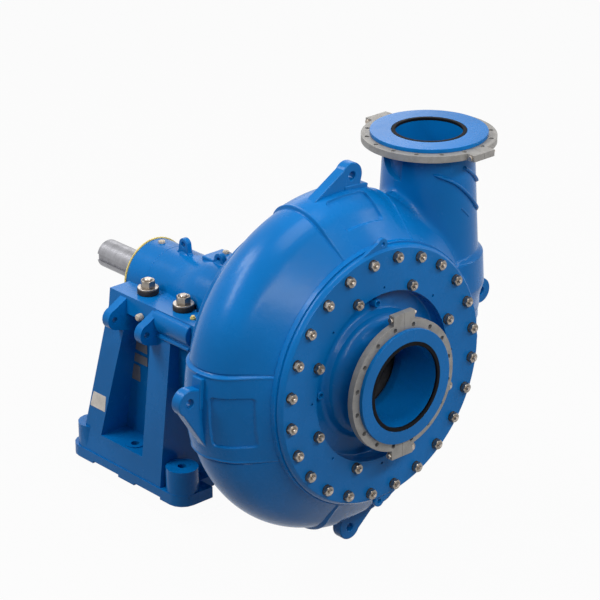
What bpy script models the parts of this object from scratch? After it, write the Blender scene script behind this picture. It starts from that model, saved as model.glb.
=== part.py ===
"""Heavy horizontal slurry pump with a vertical discharge.

Metres, +Z up. The origin is on the underside of the pedestal, in the middle of its base. The shaft runs
along Y: the suction nozzle faces -Y, the drive end faces +Y, and the discharge stands at +X.
Pieces on the shaft line are modelled about the point where the shaft meets the casing's middle plane,
and their places along the shaft are counted from that plane.
"""

from math import cos, pi, radians, sin, sqrt

import bmesh
import bpy
from mathutils import Matrix, Vector

# Gaps and overruns
GAP = 0.0003
RUNNING_GAP = 0.0008
FIT_CLEARANCE = 0.0015
OVERRUN = 0.02

# Main distances
SHAFT_HEIGHT = 0.84
OVERHANG = 0.9555
DISCHARGE_OFFSET = 0.563
DISCHARGE_HEIGHT = 0.887
SUCTION_REACH = 0.4345

# Volute casing
VOLUTE_START_RADIUS = 0.760
VOLUTE_GROWTH = 0.060
VOLUTE_START_ANGLE = 60.0
VOLUTE_BLEND_ANGLE = 20.0
TUBE_RADIUS = 0.200
CASING_WALL = 0.055
CASING_OPENING_RADIUS = 0.500
CASING_FLANGE_RADIUS = 0.600
CASING_REAR_FLANGE_RADIUS = 0.560
CASING_FLANGE_THICKNESS = 0.035
CASING_HALF_WIDTH = 0.2795
NECK_RADIUS = 0.2075
NECK_FOOT_RADIUS = 0.213
DISCHARGE_BORE_RADIUS = 0.1485
BAND_RISE = 0.007
CASING_LUG_FRONT = 0.037
CASING_LUG_THICKNESS = 0.053
CASING_LUG_EYE_RADIUS = 0.060
CASING_LUG_HOLE_RADIUS = 0.020
CASING_LUG_STANDOFF = 0.066
CASING_LUG_TAIL = 18.5
LUG_TAIL_BREAK_SHARE = 0.8

# Loose flange rings and nozzle collars, alike on both nozzles
COLLAR_RADIUS = 0.2595
COLLAR_THICKNESS = 0.018
RING_RADIUS = 0.298
RING_THICKNESS = 0.030
RING_BORE_CLEARANCE = 0.005
RING_SPLIT = 0.001
RING_HOLE_COUNT = 16
RING_HOLE_CIRCLE = 0.275
RING_HOLE_RADIUS = 0.0105
EAR_HALF_WIDTH = 0.062
EAR_REACH = 0.336
EAR_BOLT_RADIUS = 0.0070
EAR_BOLT_CIRCLE = 0.317
EAR_NUT_RADIUS = 0.0125
EAR_NUT_HEIGHT = 0.012
SEAL_WIDTH = 0.018
SEAL_DEPTH = 0.012
SEAL_RISE = 0.001

# Front cover
COVER_THICKNESS = 0.0457
COVER_RADIUS = 0.590
COVER_BEVEL = 0.018
COVER_HOLE_RADIUS = 0.386
COVER_NUT_CIRCLE = 0.541
COVER_NUT_COUNT = 24
INNER_NUT_CIRCLE = 0.414
INNER_NUT_COUNT = 8
COVER_NUT_RADIUS = 0.0225
COVER_NUT_HEIGHT = 0.030
RIM_LUG_CIRCLE = 0.607
RIM_LUG_RADIUS = 0.032
RIM_LUG_THICKNESS = 0.030
RIM_LUG_HOLE_RADIUS = 0.010
RIM_LUG_TAIL = 13.0

# Suction throat
SUCTION_BORE_RADIUS = 0.1845
SUCTION_NECK_RADIUS = 0.2145
BELL_RADIUS = 0.272
BELL_DEPTH = 0.172
RECESS_DEPTH = 0.042
THROAT_EYE_RADIUS = 0.260
RECESS_LUG_CIRCLE = 0.328
RECESS_LUG_SIZE = 0.034
RECESS_LUG_RISE = 0.036

# Rear cover and liner
REAR_COVER_THICKNESS = 0.045
REAR_COVER_RADIUS = 0.552
LINER_RELIEF_DEPTH = 0.070
LINER_RELIEF_OUTER_RADIUS = 0.440
LINER_RELIEF_INNER_RADIUS = 0.210

# Stuffing box, packing and gland
BOX_NOSE_RADIUS = 0.155
BOX_BARREL_RADIUS = 0.150
BOX_FLANGE_RADIUS = 0.215
BOX_FLANGE_THICKNESS = 0.025
BOX_MOUTH_RADIUS = 0.200
BOX_MOUTH_THICKNESS = 0.030
BOX_LENGTH = 0.3455
BOX_THROAT_RADIUS = 0.0925
PACKING_OUTER_RADIUS = 0.120
LANTERN_LENGTH = 0.022
PACKING_LENGTH = 0.023
PACKING_COUNT = 3
GLAND_FLANGE_RADIUS = 0.148
GLAND_FLANGE_THICKNESS = 0.022
GLAND_STAND_OFF = 0.002
GLAND_EAR_HALF_WIDTH = 0.030
GLAND_EAR_REACH = 0.200
GLAND_STUD_CIRCLE = 0.175
GLAND_STUD_RADIUS = 0.0095
GLAND_STUD_DEPTH = 0.022
GLAND_STUD_LENGTH = 0.095
GLAND_NUT_RADIUS = 0.018
GLAND_NUT_HEIGHT = 0.016
GLAND_SPLIT = 0.001

# Impeller
IMPELLER_RADIUS = 0.470
SHROUD_THICKNESS = 0.030
IMPELLER_FRONT_GAP = 0.004
IMPELLER_BACK_GAP = 0.012
IMPELLER_EYE_RADIUS = 0.190
HUB_RADIUS = 0.105
HUB_NOSE_REACH = 0.025
VANE_COUNT = 4
VANE_THICKNESS = 0.030
VANE_INNER_RADIUS = 0.150
VANE_WRAP = 105.0

# Shaft
SHAFT_NOSE_RADIUS = 0.060
SHAFT_NOSE_DEPTH = 0.105
SHAFT_SLEEVE_SEAT_RADIUS = 0.070
SHAFT_LABYRINTH_SEAT_RADIUS = 0.080
SHAFT_PUMP_SEAT_RADIUS = 0.085
SHAFT_BODY_RADIUS = 0.098
SHAFT_DRIVE_SEAT_RADIUS = 0.080
SHAFT_THREAD_RADIUS = 0.0775
SHAFT_REAR_SEAT_RADIUS = 0.074
SHAFT_END_RADIUS = 0.0685
SHAFT_END_REACH = 0.304
SHAFT_END_CHAMFER = 0.004
KEYWAY_WIDTH = 0.032
KEYWAY_DEPTH = 0.012
KEYWAY_LENGTH = 0.235
SLEEVE_WALL = 0.020
RELEASE_COLLAR_LENGTH = 0.032
RELEASE_COLLAR_RADIUS = 0.088

# Bearing cartridge
HOUSING_START = 0.6055
HOUSING_LENGTH = 0.619
HOUSING_RADIUS = 0.174
HOUSING_PUMP_RADIUS = 0.200
HOUSING_PUMP_LENGTH = 0.195
HOUSING_TAPER_LENGTH = 0.100
HOUSING_FLANGE_RADIUS = 0.213
HOUSING_FLANGE_THICKNESS = 0.028
HOUSING_BORE_RADIUS = 0.128
BEARING_LENGTH_PUMP = 0.100
BEARING_LENGTH_DRIVE = 0.120
PUMP_BEARING_DEPTH = 0.0195
DRIVE_BEARING_DEPTH = 0.0545
PUMP_BEARING_RADIUS = 0.150
DRIVE_BEARING_RADIUS = 0.140
INNER_RACE_SHARE = 0.30
ROLLER_SHARE = 0.40
ROLLER_COUNT = 16
FOOT_REACH = 0.2055
FOOT_DROP = 0.030
FOOT_RISE = 0.044
FOOT_START = 0.690
FOOT_LENGTH = 0.350
SHIM_THICKNESS = 0.006
DRIVE_SHIM_RADIUS = 0.180
DRIVE_COVER_RADIUS = 0.162
END_COVER_THICKNESS = 0.022
END_COVER_NOSE_RADIUS = 0.120
END_COVER_NOSE_LENGTH = 0.020
COVER_SPIGOT_WALL = 0.018
LABYRINTH_WALL = 0.011
FLINGER_RADIUS = 0.110
FLINGER_THICKNESS = 0.016
EYE_THICKNESS = 0.027
EYE_RADIUS = 0.031
EYE_HOLE_RADIUS = 0.012
DRIVE_EYE_PLACE = 0.9995
PUMP_EYE_PLACE = 0.7515
EYE_HOLE_HEIGHT = 0.218
TOP_PAD_HEIGHT = 0.205
TOP_PAD_WIDTH = 0.125
TOP_PAD_START = 0.690
TOP_PAD_LENGTH = 0.180
GREASE_PLUG_RADIUS = 0.017
GREASE_PLUG_HEIGHT = 0.014

# Adjusting screw
ADJUSTER_DROP = 0.225
ADJUSTER_RADIUS = 0.012
ADJUSTER_LENGTH = 0.200
ADJUSTER_COLLAR_RADIUS = 0.021
ADJUSTER_COLLAR_LENGTH = 0.014
ADJUSTER_LUG_THICKNESS = 0.036
ADJUSTER_LUG_HALF_WIDTH = 0.034
ADJUSTER_LUG_DROP = 0.262
ADJUSTER_LUG_INSET = 0.008

# Pedestal
BASE_FRONT = -0.394
BASE_REAR = 0.432
BASE_HALF_WIDTH = 0.420
SADDLE_HALF_WIDTH = 0.321
BASE_PLATE_THICKNESS = 0.055
BASE_BOSS_RADIUS = 0.076
BASE_LIP = 0.002
BASE_REAR_LIP = 0.028
BASE_BOSS_HEIGHT = 0.171
SILL_HEIGHT = 0.158
SILL_BOSS_PLACE = 0.022
SILL_BOSS_RADIUS = 0.045
SILL_BOSS_HEIGHT = 0.163
HOLD_DOWN_HOLE_RADIUS = 0.021
FOOT_PAD_RECESS = 0.012
CORNER_PAD_LENGTH = 0.147
MIDDLE_PAD_LENGTH = 0.116
CORNER_PAD_WIDTH = 0.276
FRONT_LEG_FRONT = -0.242
FRONT_LEG_WIDTH = 0.139
REAR_EDGE_TOP = 0.203
REAR_EDGE_LOW = 0.320
WINDOW_TOP_LENGTH = 0.173
WINDOW_LOW_LENGTH = 0.304
SADDLE_DEPTH = 0.084
BEAM_DEPTH = 0.127
CORE_HALF_WIDTH = 0.250
CAVITY_HALF_WIDTH = 0.215
CAVITY_HEIGHT = 0.550
CAVITY_WALL = 0.045
TROUGH_CLEARANCE = 0.006
DECK_CLEARANCE = 0.015
REAR_POCKET_HALF_WIDTH = 0.060
REAR_POCKET_DROP = 0.300
HEAD_RING_RADIUS = 0.420
HEAD_RING_HOLE_RADIUS = 0.235
HEAD_RING_THICKNESS = 0.035
HEAD_WEB_WIDTH = 0.060
HEAD_WEB_DROP = 0.390
DECK_OPENING_HALF_WIDTH = 0.228
SIDE_LUG_RADIUS = 0.052
SIDE_LUG_REACH = 0.380
SIDE_LUG_HOLE_REACH = 0.394
SIDE_LUG_DROP = 0.058
SIDE_LUG_ROOT = 0.094
SIDE_LUG_HOLE_RADIUS = 0.015
SIDE_LUG_THICKNESS = 0.045
FRONT_SIDE_LUG_PLACE = -0.150
REAR_SIDE_LUG_PLACE = 0.080

# Clamp studs and washers that hold the cartridge in the saddle
CLAMP_SPREAD = 0.233
CLAMP_FRONT_PLACE = 0.7385
CLAMP_REAR_PLACE = 0.9895
CLAMP_STUD_RADIUS = 0.015
CLAMP_STUD_DEPTH = 0.090
CLAMP_STUD_RISE = 0.086
CLAMP_NUT_RADIUS = 0.031
CLAMP_NUT_HEIGHT = 0.040
CLAMP_WASHER_RADIUS = 0.050
CLAMP_WASHER_HEIGHT = 0.032
CLAMP_HOLE_CLEARANCE = 0.0015
CLAMP_SEAT_CLEARANCE = 0.008

# Small fittings on the pedestal
SIDE_PLUG_RADIUS = 0.017
SIDE_PLUG_LENGTH = 0.030
SIDE_PLUG_PLACE = -0.035
SIDE_PLUG_DROP = 0.030
WATER_CAP_RADIUS = 0.014
WATER_CAP_HEIGHT = 0.018
WATER_CAP_SPREAD = 0.273
WATER_CAP_PLACE = 0.6265

# Facets round each kind of circle
LARGE_STEPS = 48
MIDDLE_STEPS = 28
SMALL_STEPS = 16
TINY_STEPS = 10
HEX_STEPS = 6

# Casing lugs: angle of the eye, counted from +X towards +Z
CASING_LUG_ANGLES = (3.8, 85.3, 176.9, 274.8)
# Thickened bands of the casing: first and last angle
CASING_BANDS = ((-12.0, 25.0), (78.0, 107.0), (168.0, 198.0), (256.0, 284.0))

# Places along the shaft that follow from the sizes above
LINER_FACE = TUBE_RADIUS - CASING_WALL
COVER_BACK = -CASING_HALF_WIDTH - GAP
COVER_FRONT = COVER_BACK - COVER_THICKNESS
REAR_COVER_START = CASING_HALF_WIDTH + GAP
REAR_COVER_END = REAR_COVER_START + REAR_COVER_THICKNESS
BOX_START = LINER_FACE + 0.25 * BOX_MOUTH_THICKNESS
BOX_END = BOX_START + BOX_LENGTH
IMPELLER_FRONT = -LINER_FACE + IMPELLER_FRONT_GAP
IMPELLER_BACK = LINER_FACE - IMPELLER_BACK_GAP
SLEEVE_RADIUS = SHAFT_SLEEVE_SEAT_RADIUS + SLEEVE_WALL
HOUSING_END = HOUSING_START + HOUSING_LENGTH
PUMP_COVER_BACK = HOUSING_START - SHIM_THICKNESS - 2 * GAP
PUMP_COVER_FRONT = PUMP_COVER_BACK - END_COVER_THICKNESS
PUMP_NOSE_FRONT = PUMP_COVER_FRONT - 0.7 * END_COVER_NOSE_LENGTH
DRIVE_COVER_FRONT = HOUSING_END + SHIM_THICKNESS + 2 * GAP
DRIVE_COVER_BACK = DRIVE_COVER_FRONT + END_COVER_THICKNESS
DRIVE_NOSE_BACK = DRIVE_COVER_BACK + END_COVER_NOSE_LENGTH
PUMP_RACE_START = HOUSING_START + PUMP_BEARING_DEPTH
PUMP_RACE_END = PUMP_RACE_START + BEARING_LENGTH_PUMP
DRIVE_RACE_END = HOUSING_END - DRIVE_BEARING_DEPTH
DRIVE_RACE_START = DRIVE_RACE_END - BEARING_LENGTH_DRIVE
FLINGER_FRONT = PUMP_NOSE_FRONT - FLINGER_THICKNESS - 3 * RING_BORE_CLEARANCE + 0.5 * SHIM_THICKNESS
SHAFT_END = DRIVE_NOSE_BACK + SHAFT_END_REACH
SADDLE_TOP = SHAFT_HEIGHT + FOOT_RISE
PACKING_START = BOX_END - LANTERN_LENGTH - (PACKING_COUNT + 1) * (PACKING_LENGTH + GAP)
PACKING_START -= 3 * GAP + PACKING_LENGTH


def clear_scene():
    for thing in list(bpy.data.objects):
        bpy.data.objects.remove(thing, do_unlink=True)


def finish(name, colour, roughness, metallic):
    """A Principled material of one colour."""
    material = bpy.data.materials.new(name)
    material.use_nodes = True
    shader = material.node_tree.nodes["Principled BSDF"]
    shader.inputs["Base Color"].default_value = (*colour, 1.0)
    shader.inputs["Roughness"].default_value = roughness
    shader.inputs["Metallic"].default_value = metallic
    return material


def axis_empty(name, place):
    empty = bpy.data.objects.new(name, None)
    bpy.context.scene.collection.objects.link(empty)
    empty.location = place
    return empty


# Shapes

AXES = {
    "X": (Vector((0, 0, 1)), Vector((1, 0, 0))),
    "Y": (Vector((1, 0, 0)), Vector((0, 1, 0))),
    "Z": (Vector((1, 0, 0)), Vector((0, 0, 1))),
}


def turned(profile, steps=MIDDLE_STEPS, axis="Y", centre=(0, 0, 0), turn=0.0):
    """A solid of revolution. The profile is a closed loop of (radius, place along the axis)."""
    shape = bmesh.new()
    out, along = AXES[axis]
    start = Matrix.Rotation(radians(turn), 3, along) @ out
    points = [shape.verts.new(Vector(centre) + start * radius + along * place) for radius, place in profile]
    edges = [shape.edges.new((a, b)) for a, b in zip(points, points[1:] + points[:1])]
    bmesh.ops.spin(
        shape, geom=points + edges, cent=centre, axis=along, angle=2 * pi, steps=steps, use_merge=True
    )
    bmesh.ops.remove_doubles(shape, verts=shape.verts, dist=GAP / 100)
    flat = [face for face in shape.faces if face.calc_area() < GAP**2 / 100]
    bmesh.ops.delete(shape, geom=flat, context="FACES_ONLY")
    loose = [edge for edge in shape.edges if not edge.link_faces]
    bmesh.ops.delete(shape, geom=loose, context="EDGES")
    bmesh.ops.recalc_face_normals(shape, faces=shape.faces)
    return shape


def prism(outline, low, high, axis):
    """An outline pushed along an axis. The outline is in (Y, Z), (X, Z) or (X, Y), for axis X, Y or Z."""
    place = {
        "X": lambda u, v, w: (w, u, v),
        "Y": lambda u, v, w: (u, w, v),
        "Z": lambda u, v, w: (u, v, w),
    }[axis]
    shape = bmesh.new()
    face = shape.faces.new([shape.verts.new(place(u, v, low)) for u, v in outline])
    pushed = bmesh.ops.extrude_face_region(shape, geom=[face])
    moved = [item for item in pushed["geom"] if isinstance(item, bmesh.types.BMVert)]
    way = Vector(place(0, 0, high)) - Vector(place(0, 0, low))
    bmesh.ops.translate(shape, verts=moved, vec=way)
    bmesh.ops.recalc_face_normals(shape, faces=shape.faces)
    return shape


def box(low, high):
    (x0, y0, z0), (x1, y1, z1) = low, high
    return prism([(x0, y0), (x1, y0), (x1, y1), (x0, y1)], z0, z1, "Z")


def rod(radius, low, high, centre=(0, 0), axis="Z", steps=SMALL_STEPS):
    """A cylinder along an axis, with its centre given in the two other axes."""
    ring = [
        (centre[0] + radius * cos(2 * pi * i / steps), centre[1] + radius * sin(2 * pi * i / steps))
        for i in range(steps)
    ]
    return prism(ring, low, high, axis)


def together(shapes):
    """Several shapes in one mesh, as separate bodies."""
    whole = bmesh.new()
    for shape in shapes:
        mesh = bpy.data.meshes.new("piece")
        shape.to_mesh(mesh)
        shape.free()
        whole.from_mesh(mesh)
        bpy.data.meshes.remove(mesh)
    return whole


def placed(shape, matrix):
    bmesh.ops.transform(shape, matrix=matrix, verts=shape.verts)
    if matrix.determinant() < 0:
        bmesh.ops.reverse_faces(shape, faces=shape.faces)
    return shape


def make(name, shape, material, parent=None):
    """A visible piece of the pump."""
    mesh = bpy.data.meshes.new(name)
    shape.to_mesh(mesh)
    shape.free()
    mesh.materials.append(material)
    mesh.shade_smooth()
    mesh.set_sharp_from_angle(angle=radians(35))
    piece = bpy.data.objects.new(name, mesh)
    bpy.context.scene.collection.objects.link(piece)
    piece.parent = parent
    return piece


def shape_with(piece, shape, operation):
    """Joins a shape to a piece or cuts it from the piece, with a Boolean modifier and a hidden helper."""
    mesh = bpy.data.meshes.new(f"{piece.name}_{operation.lower()}")
    shape.to_mesh(mesh)
    shape.free()
    helper = bpy.data.objects.new(mesh.name, mesh)
    bpy.context.scene.collection.objects.link(helper)
    helper.parent = piece.parent
    helper.location = piece.location
    helper.rotation_euler = piece.rotation_euler
    helper.hide_render = True
    helper.display_type = "WIRE"
    modifier = piece.modifiers.new(helper.name, "BOOLEAN")
    modifier.operation = operation
    modifier.solver = "EXACT"
    modifier.object = helper
    return piece


def join_to(piece, shape):
    return shape_with(piece, shape, "UNION")


def cut_from(piece, shape):
    return shape_with(piece, shape, "DIFFERENCE")


def circle_places(radius, count, first):
    """Points on a circle, the first at an angle in degrees."""
    return [
        (radius * cos(radians(first) + 2 * pi * i / count), radius * sin(radians(first) + 2 * pi * i / count))
        for i in range(count)
    ]


# Volute casing


def in_band(angle):
    return any((angle - first) % 360 <= last - first for first, last in CASING_BANDS)


def volute_radius(angle):
    """Outer radius of the casing: it grows evenly with the angle, and blends back inside the neck."""
    turned_by = (angle - VOLUTE_START_ANGLE) % 360
    growing = 360 - VOLUTE_BLEND_ANGLE
    if turned_by <= growing:
        return VOLUTE_START_RADIUS + VOLUTE_GROWTH * turned_by / 360
    share = (turned_by - growing) / VOLUTE_BLEND_ANGLE
    smooth = share * share * (3 - 2 * share)
    return VOLUTE_START_RADIUS + VOLUTE_GROWTH * growing / 360 * (1 - smooth)


def ring_angles():
    """Even angles round the casing, with two close ones at each end of a band."""
    even = [360 * i / LARGE_STEPS for i in range(LARGE_STEPS)]
    ends = [end % 360 for band in CASING_BANDS for end in band]
    kept = [a for a in even if all(abs((a - end + 180) % 360 - 180) > 2.0 for end in ends)]
    pairs = [(end + side) % 360 for end in ends for side in (-0.25, 0.25)]
    return sorted(kept + pairs)


def swept_ring(angles, section):
    """A closed ring: section(angle) gives its loop of (radius, place along the shaft) at each angle."""
    shape = bmesh.new()
    loops = []
    for angle in angles:
        way = radians(angle)
        loops.append([shape.verts.new((r * cos(way), y, r * sin(way))) for r, y in section(angle)])
    for first, second in zip(loops, loops[1:] + loops[:1]):
        for i in range(len(first)):
            j = (i + 1) % len(first)
            shape.faces.new((first[i], first[j], second[j], second[i]))
    bmesh.ops.recalc_face_normals(shape, faces=shape.faces)
    return shape


def casing_section(angle):
    """Flange, round outer wall and flange again, closed along the casing's opening."""
    rise = BAND_RISE if in_band(angle) else 0.0
    outer = volute_radius(angle)
    middle = outer - TUBE_RADIUS
    radius = TUBE_RADIUS + rise
    flange_back = CASING_HALF_WIDTH - CASING_FLANGE_THICKNESS
    inside = CASING_OPENING_RADIUS - OVERRUN
    front = [(inside, -CASING_HALF_WIDTH), (CASING_FLANGE_RADIUS, -CASING_HALF_WIDTH)]
    front.append((CASING_FLANGE_RADIUS, -flange_back))
    back = [(CASING_REAR_FLANGE_RADIUS, flange_back), (CASING_REAR_FLANGE_RADIUS, CASING_HALF_WIDTH)]
    back.append((inside, CASING_HALF_WIDTH))
    steps = 9
    wall = []
    for i in range(steps):
        way = radians(20 + 140 * i / (steps - 1))
        wall.append((middle + radius * sin(way), -TUBE_RADIUS * cos(way)))
    return front + wall + back


def waterway_section(angle):
    """The hollow of the volute, open towards the shaft over its whole width."""
    middle = volute_radius(angle) - TUBE_RADIUS
    radius = TUBE_RADIUS - CASING_WALL
    inside = CASING_OPENING_RADIUS - 2 * OVERRUN
    steps = 8
    wall = []
    for i in range(steps):
        way = pi * i / (steps - 1)
        wall.append((middle + radius * sin(way), -radius * cos(way)))
    return [(inside, -radius)] + wall + [(inside, radius)]


def tailed_lug(angle, eye_place, eye_radius, tail_turn, surface, root, front, back):
    """A lug across the shaft: a round eye with a short steep side, and a tail that runs down the surface."""
    way = radians(angle)
    out = Vector((cos(way), sin(way)))
    round_way = Vector((-sin(way), cos(way)))
    eye = out * eye_place
    outline = []
    for i in range(9):
        bend = radians(-100 + 160 * i / 8)
        outline.append(eye + eye_radius * (cos(bend) * out + sin(bend) * round_way))

    def at(turned_by, radius):
        where = radians(angle + turned_by)
        return Vector((cos(where), sin(where))) * radius

    outline.append(at(tail_turn, surface - root / 4))
    outline.append(at(LUG_TAIL_BREAK_SHARE * tail_turn, surface - root))
    outline.append(at(-0.15 * tail_turn, surface - root))
    return prism([tuple(point) for point in outline], front, back, "Y"), eye


def build_casing(parent):
    casing = make("volute_casing", swept_ring(ring_angles(), casing_section), BLUE, parent)
    collar_base = DISCHARGE_HEIGHT + GAP
    collar_top = collar_base + COLLAR_THICKNESS
    neck = turned(
        [(0, 0), (NECK_FOOT_RADIUS, 0), (NECK_FOOT_RADIUS, DISCHARGE_HEIGHT / 2),
         (NECK_RADIUS, collar_base - BEAM_DEPTH / 2), (NECK_RADIUS, collar_base),
         (COLLAR_RADIUS, collar_base), (COLLAR_RADIUS, collar_top), (0, collar_top)],
        MIDDLE_STEPS, "Z", (DISCHARGE_OFFSET, 0, 0),
    )
    join_to(casing, neck)
    holes = []
    for angle in CASING_LUG_ANGLES:
        surface = volute_radius(angle) + BAND_RISE
        lug, eye = tailed_lug(
            angle, surface + CASING_LUG_STANDOFF, CASING_LUG_EYE_RADIUS, CASING_LUG_TAIL, surface,
            CASING_LUG_EYE_RADIUS, -CASING_LUG_FRONT, CASING_LUG_THICKNESS - CASING_LUG_FRONT,
        )
        join_to(casing, lug)
        reach = CASING_LUG_THICKNESS
        holes.append(rod(CASING_LUG_HOLE_RADIUS, -reach, reach, tuple(eye), "Y", TINY_STEPS))
    cut_from(casing, together(holes))
    cut_from(casing, swept_ring([360 * i / LARGE_STEPS for i in range(LARGE_STEPS)], waterway_section))
    reach = CASING_HALF_WIDTH + OVERRUN
    cut_from(casing, rod(CASING_OPENING_RADIUS, -reach, reach, (0, 0), "Y", LARGE_STEPS))
    seat = collar_top - SEAL_DEPTH
    bore = turned(
        [(0, LINER_FACE), (DISCHARGE_BORE_RADIUS, LINER_FACE), (DISCHARGE_BORE_RADIUS, seat),
         (DISCHARGE_BORE_RADIUS + SEAL_WIDTH, seat),
         (DISCHARGE_BORE_RADIUS + SEAL_WIDTH, collar_top + OVERRUN), (0, collar_top + OVERRUN)],
        MIDDLE_STEPS, "Z", (DISCHARGE_OFFSET, 0, 0),
    )
    cut_from(casing, bore)


# Front cover and suction throat


def cover_nuts(circle, count, first):
    """Hexagon nuts on the cover's face, slightly sunk into it."""
    sunk = COVER_FRONT + COVER_NUT_HEIGHT / 4
    top = COVER_FRONT - COVER_NUT_HEIGHT
    places = circle_places(circle, count, first)
    return [rod(COVER_NUT_RADIUS, top, sunk, place, "Y", HEX_STEPS) for place in places]


def build_front_cover(parent):
    cover = make(
        "front_cover",
        turned(
            [(COVER_HOLE_RADIUS, COVER_FRONT), (COVER_RADIUS - COVER_BEVEL, COVER_FRONT),
             (COVER_RADIUS, COVER_FRONT + COVER_BEVEL), (COVER_RADIUS, COVER_BACK),
             (COVER_HOLE_RADIUS, COVER_BACK)],
            LARGE_STEPS,
        ),
        BLUE, parent,
    )
    lug_front = COVER_BACK - RIM_LUG_THICKNESS
    lugs = []
    holes = []
    for angle in (-90, 90):
        lug, eye = tailed_lug(
            angle, RIM_LUG_CIRCLE, RIM_LUG_RADIUS, RIM_LUG_TAIL, COVER_RADIUS, RIM_LUG_RADIUS,
            lug_front, COVER_BACK - GAP,
        )
        lugs.append(lug)
        holes.append(
            rod(RIM_LUG_HOLE_RADIUS, lug_front - OVERRUN, COVER_BACK + OVERRUN, tuple(eye), "Y", TINY_STEPS)
        )
    join_to(cover, together(lugs))
    cut_from(cover, together(holes))
    nuts = cover_nuts(COVER_NUT_CIRCLE, COVER_NUT_COUNT, 180 / COVER_NUT_COUNT)
    nuts += cover_nuts(INNER_NUT_CIRCLE, INNER_NUT_COUNT, 180 / INNER_NUT_COUNT)
    join_to(cover, together(nuts))


def build_suction_throat(parent):
    """Nozzle, bell and front liner in one casting, clamped behind the cover."""
    collar_back = -SUCTION_REACH - GAP
    collar_front = collar_back - COLLAR_THICKNESS
    bell_back = -SUCTION_REACH + BELL_DEPTH
    floor = COVER_BACK + RECESS_DEPTH
    rim = CASING_OPENING_RADIUS - FIT_CLEARANCE
    inner_face = -LINER_FACE
    flare = BELL_RADIUS - SUCTION_NECK_RADIUS
    profile = [
        (SUCTION_BORE_RADIUS, inner_face - 0.5 * BELL_DEPTH),
        (SUCTION_BORE_RADIUS, collar_front + SEAL_DEPTH),
        (SUCTION_BORE_RADIUS + SEAL_WIDTH, collar_front + SEAL_DEPTH),
        (SUCTION_BORE_RADIUS + SEAL_WIDTH, collar_front),
        (COLLAR_RADIUS, collar_front),
        (COLLAR_RADIUS, collar_back),
        (SUCTION_NECK_RADIUS, collar_back),
        (SUCTION_NECK_RADIUS, -SUCTION_REACH + 1.3 * RING_THICKNESS),
        (SUCTION_NECK_RADIUS + 0.35 * flare, -SUCTION_REACH + 0.40 * BELL_DEPTH),
        (SUCTION_NECK_RADIUS + 0.75 * flare, -SUCTION_REACH + 0.65 * BELL_DEPTH),
        (BELL_RADIUS, bell_back),
        (BELL_RADIUS + 0.5 * RECESS_DEPTH, floor),
        (COVER_HOLE_RADIUS - COVER_BEVEL / 4, floor),
        (COVER_HOLE_RADIUS + COVER_BEVEL / 4, -CASING_HALF_WIDTH),
        (rim, -CASING_HALF_WIDTH),
        (rim, inner_face),
        (THROAT_EYE_RADIUS, inner_face),
        (SUCTION_BORE_RADIUS + 0.25 * flare, inner_face - 0.15 * BELL_DEPTH),
    ]
    throat = make("suction_throat", turned(profile, LARGE_STEPS), BLUE, parent)
    half = RECESS_LUG_SIZE / 2
    lugs = []
    for x, z in circle_places(RECESS_LUG_CIRCLE, 4, 0):
        low = (x - half, floor - RECESS_LUG_RISE, z - half)
        high = (x + half, floor + RECESS_LUG_RISE / 4, z + half)
        lugs.append(box(low, high))
    join_to(throat, together(lugs))


# Loose flange rings: modelled about their own axis, the face at height 0 and the body below it


def ring_outline(bore):
    """Half of a split ring with a clamping ear at each end, on the +X side."""
    side = RING_SPLIT / 2
    inner_turn = sqrt(bore**2 - side**2)
    steps = MIDDLE_STEPS // 2
    outline = [(side, inner_turn), (side, EAR_REACH), (EAR_HALF_WIDTH, EAR_REACH)]
    ear_height = sqrt(RING_RADIUS**2 - EAR_HALF_WIDTH**2)
    outline.append((EAR_HALF_WIDTH, ear_height))
    # The outer arc runs from one ear to the other, and the inner arc comes back.
    for i in range(1, steps):
        way = pi / 2 - pi * i / steps
        if RING_RADIUS * cos(way) > EAR_HALF_WIDTH:
            outline.append((RING_RADIUS * cos(way), RING_RADIUS * sin(way)))
    outline += [(EAR_HALF_WIDTH, -ear_height), (EAR_HALF_WIDTH, -EAR_REACH), (side, -EAR_REACH)]
    outline.append((side, -inner_turn))
    for i in range(1, steps):
        way = -pi / 2 + pi * i / steps
        outline.append((bore * cos(way), bore * sin(way)))
    return outline


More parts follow.
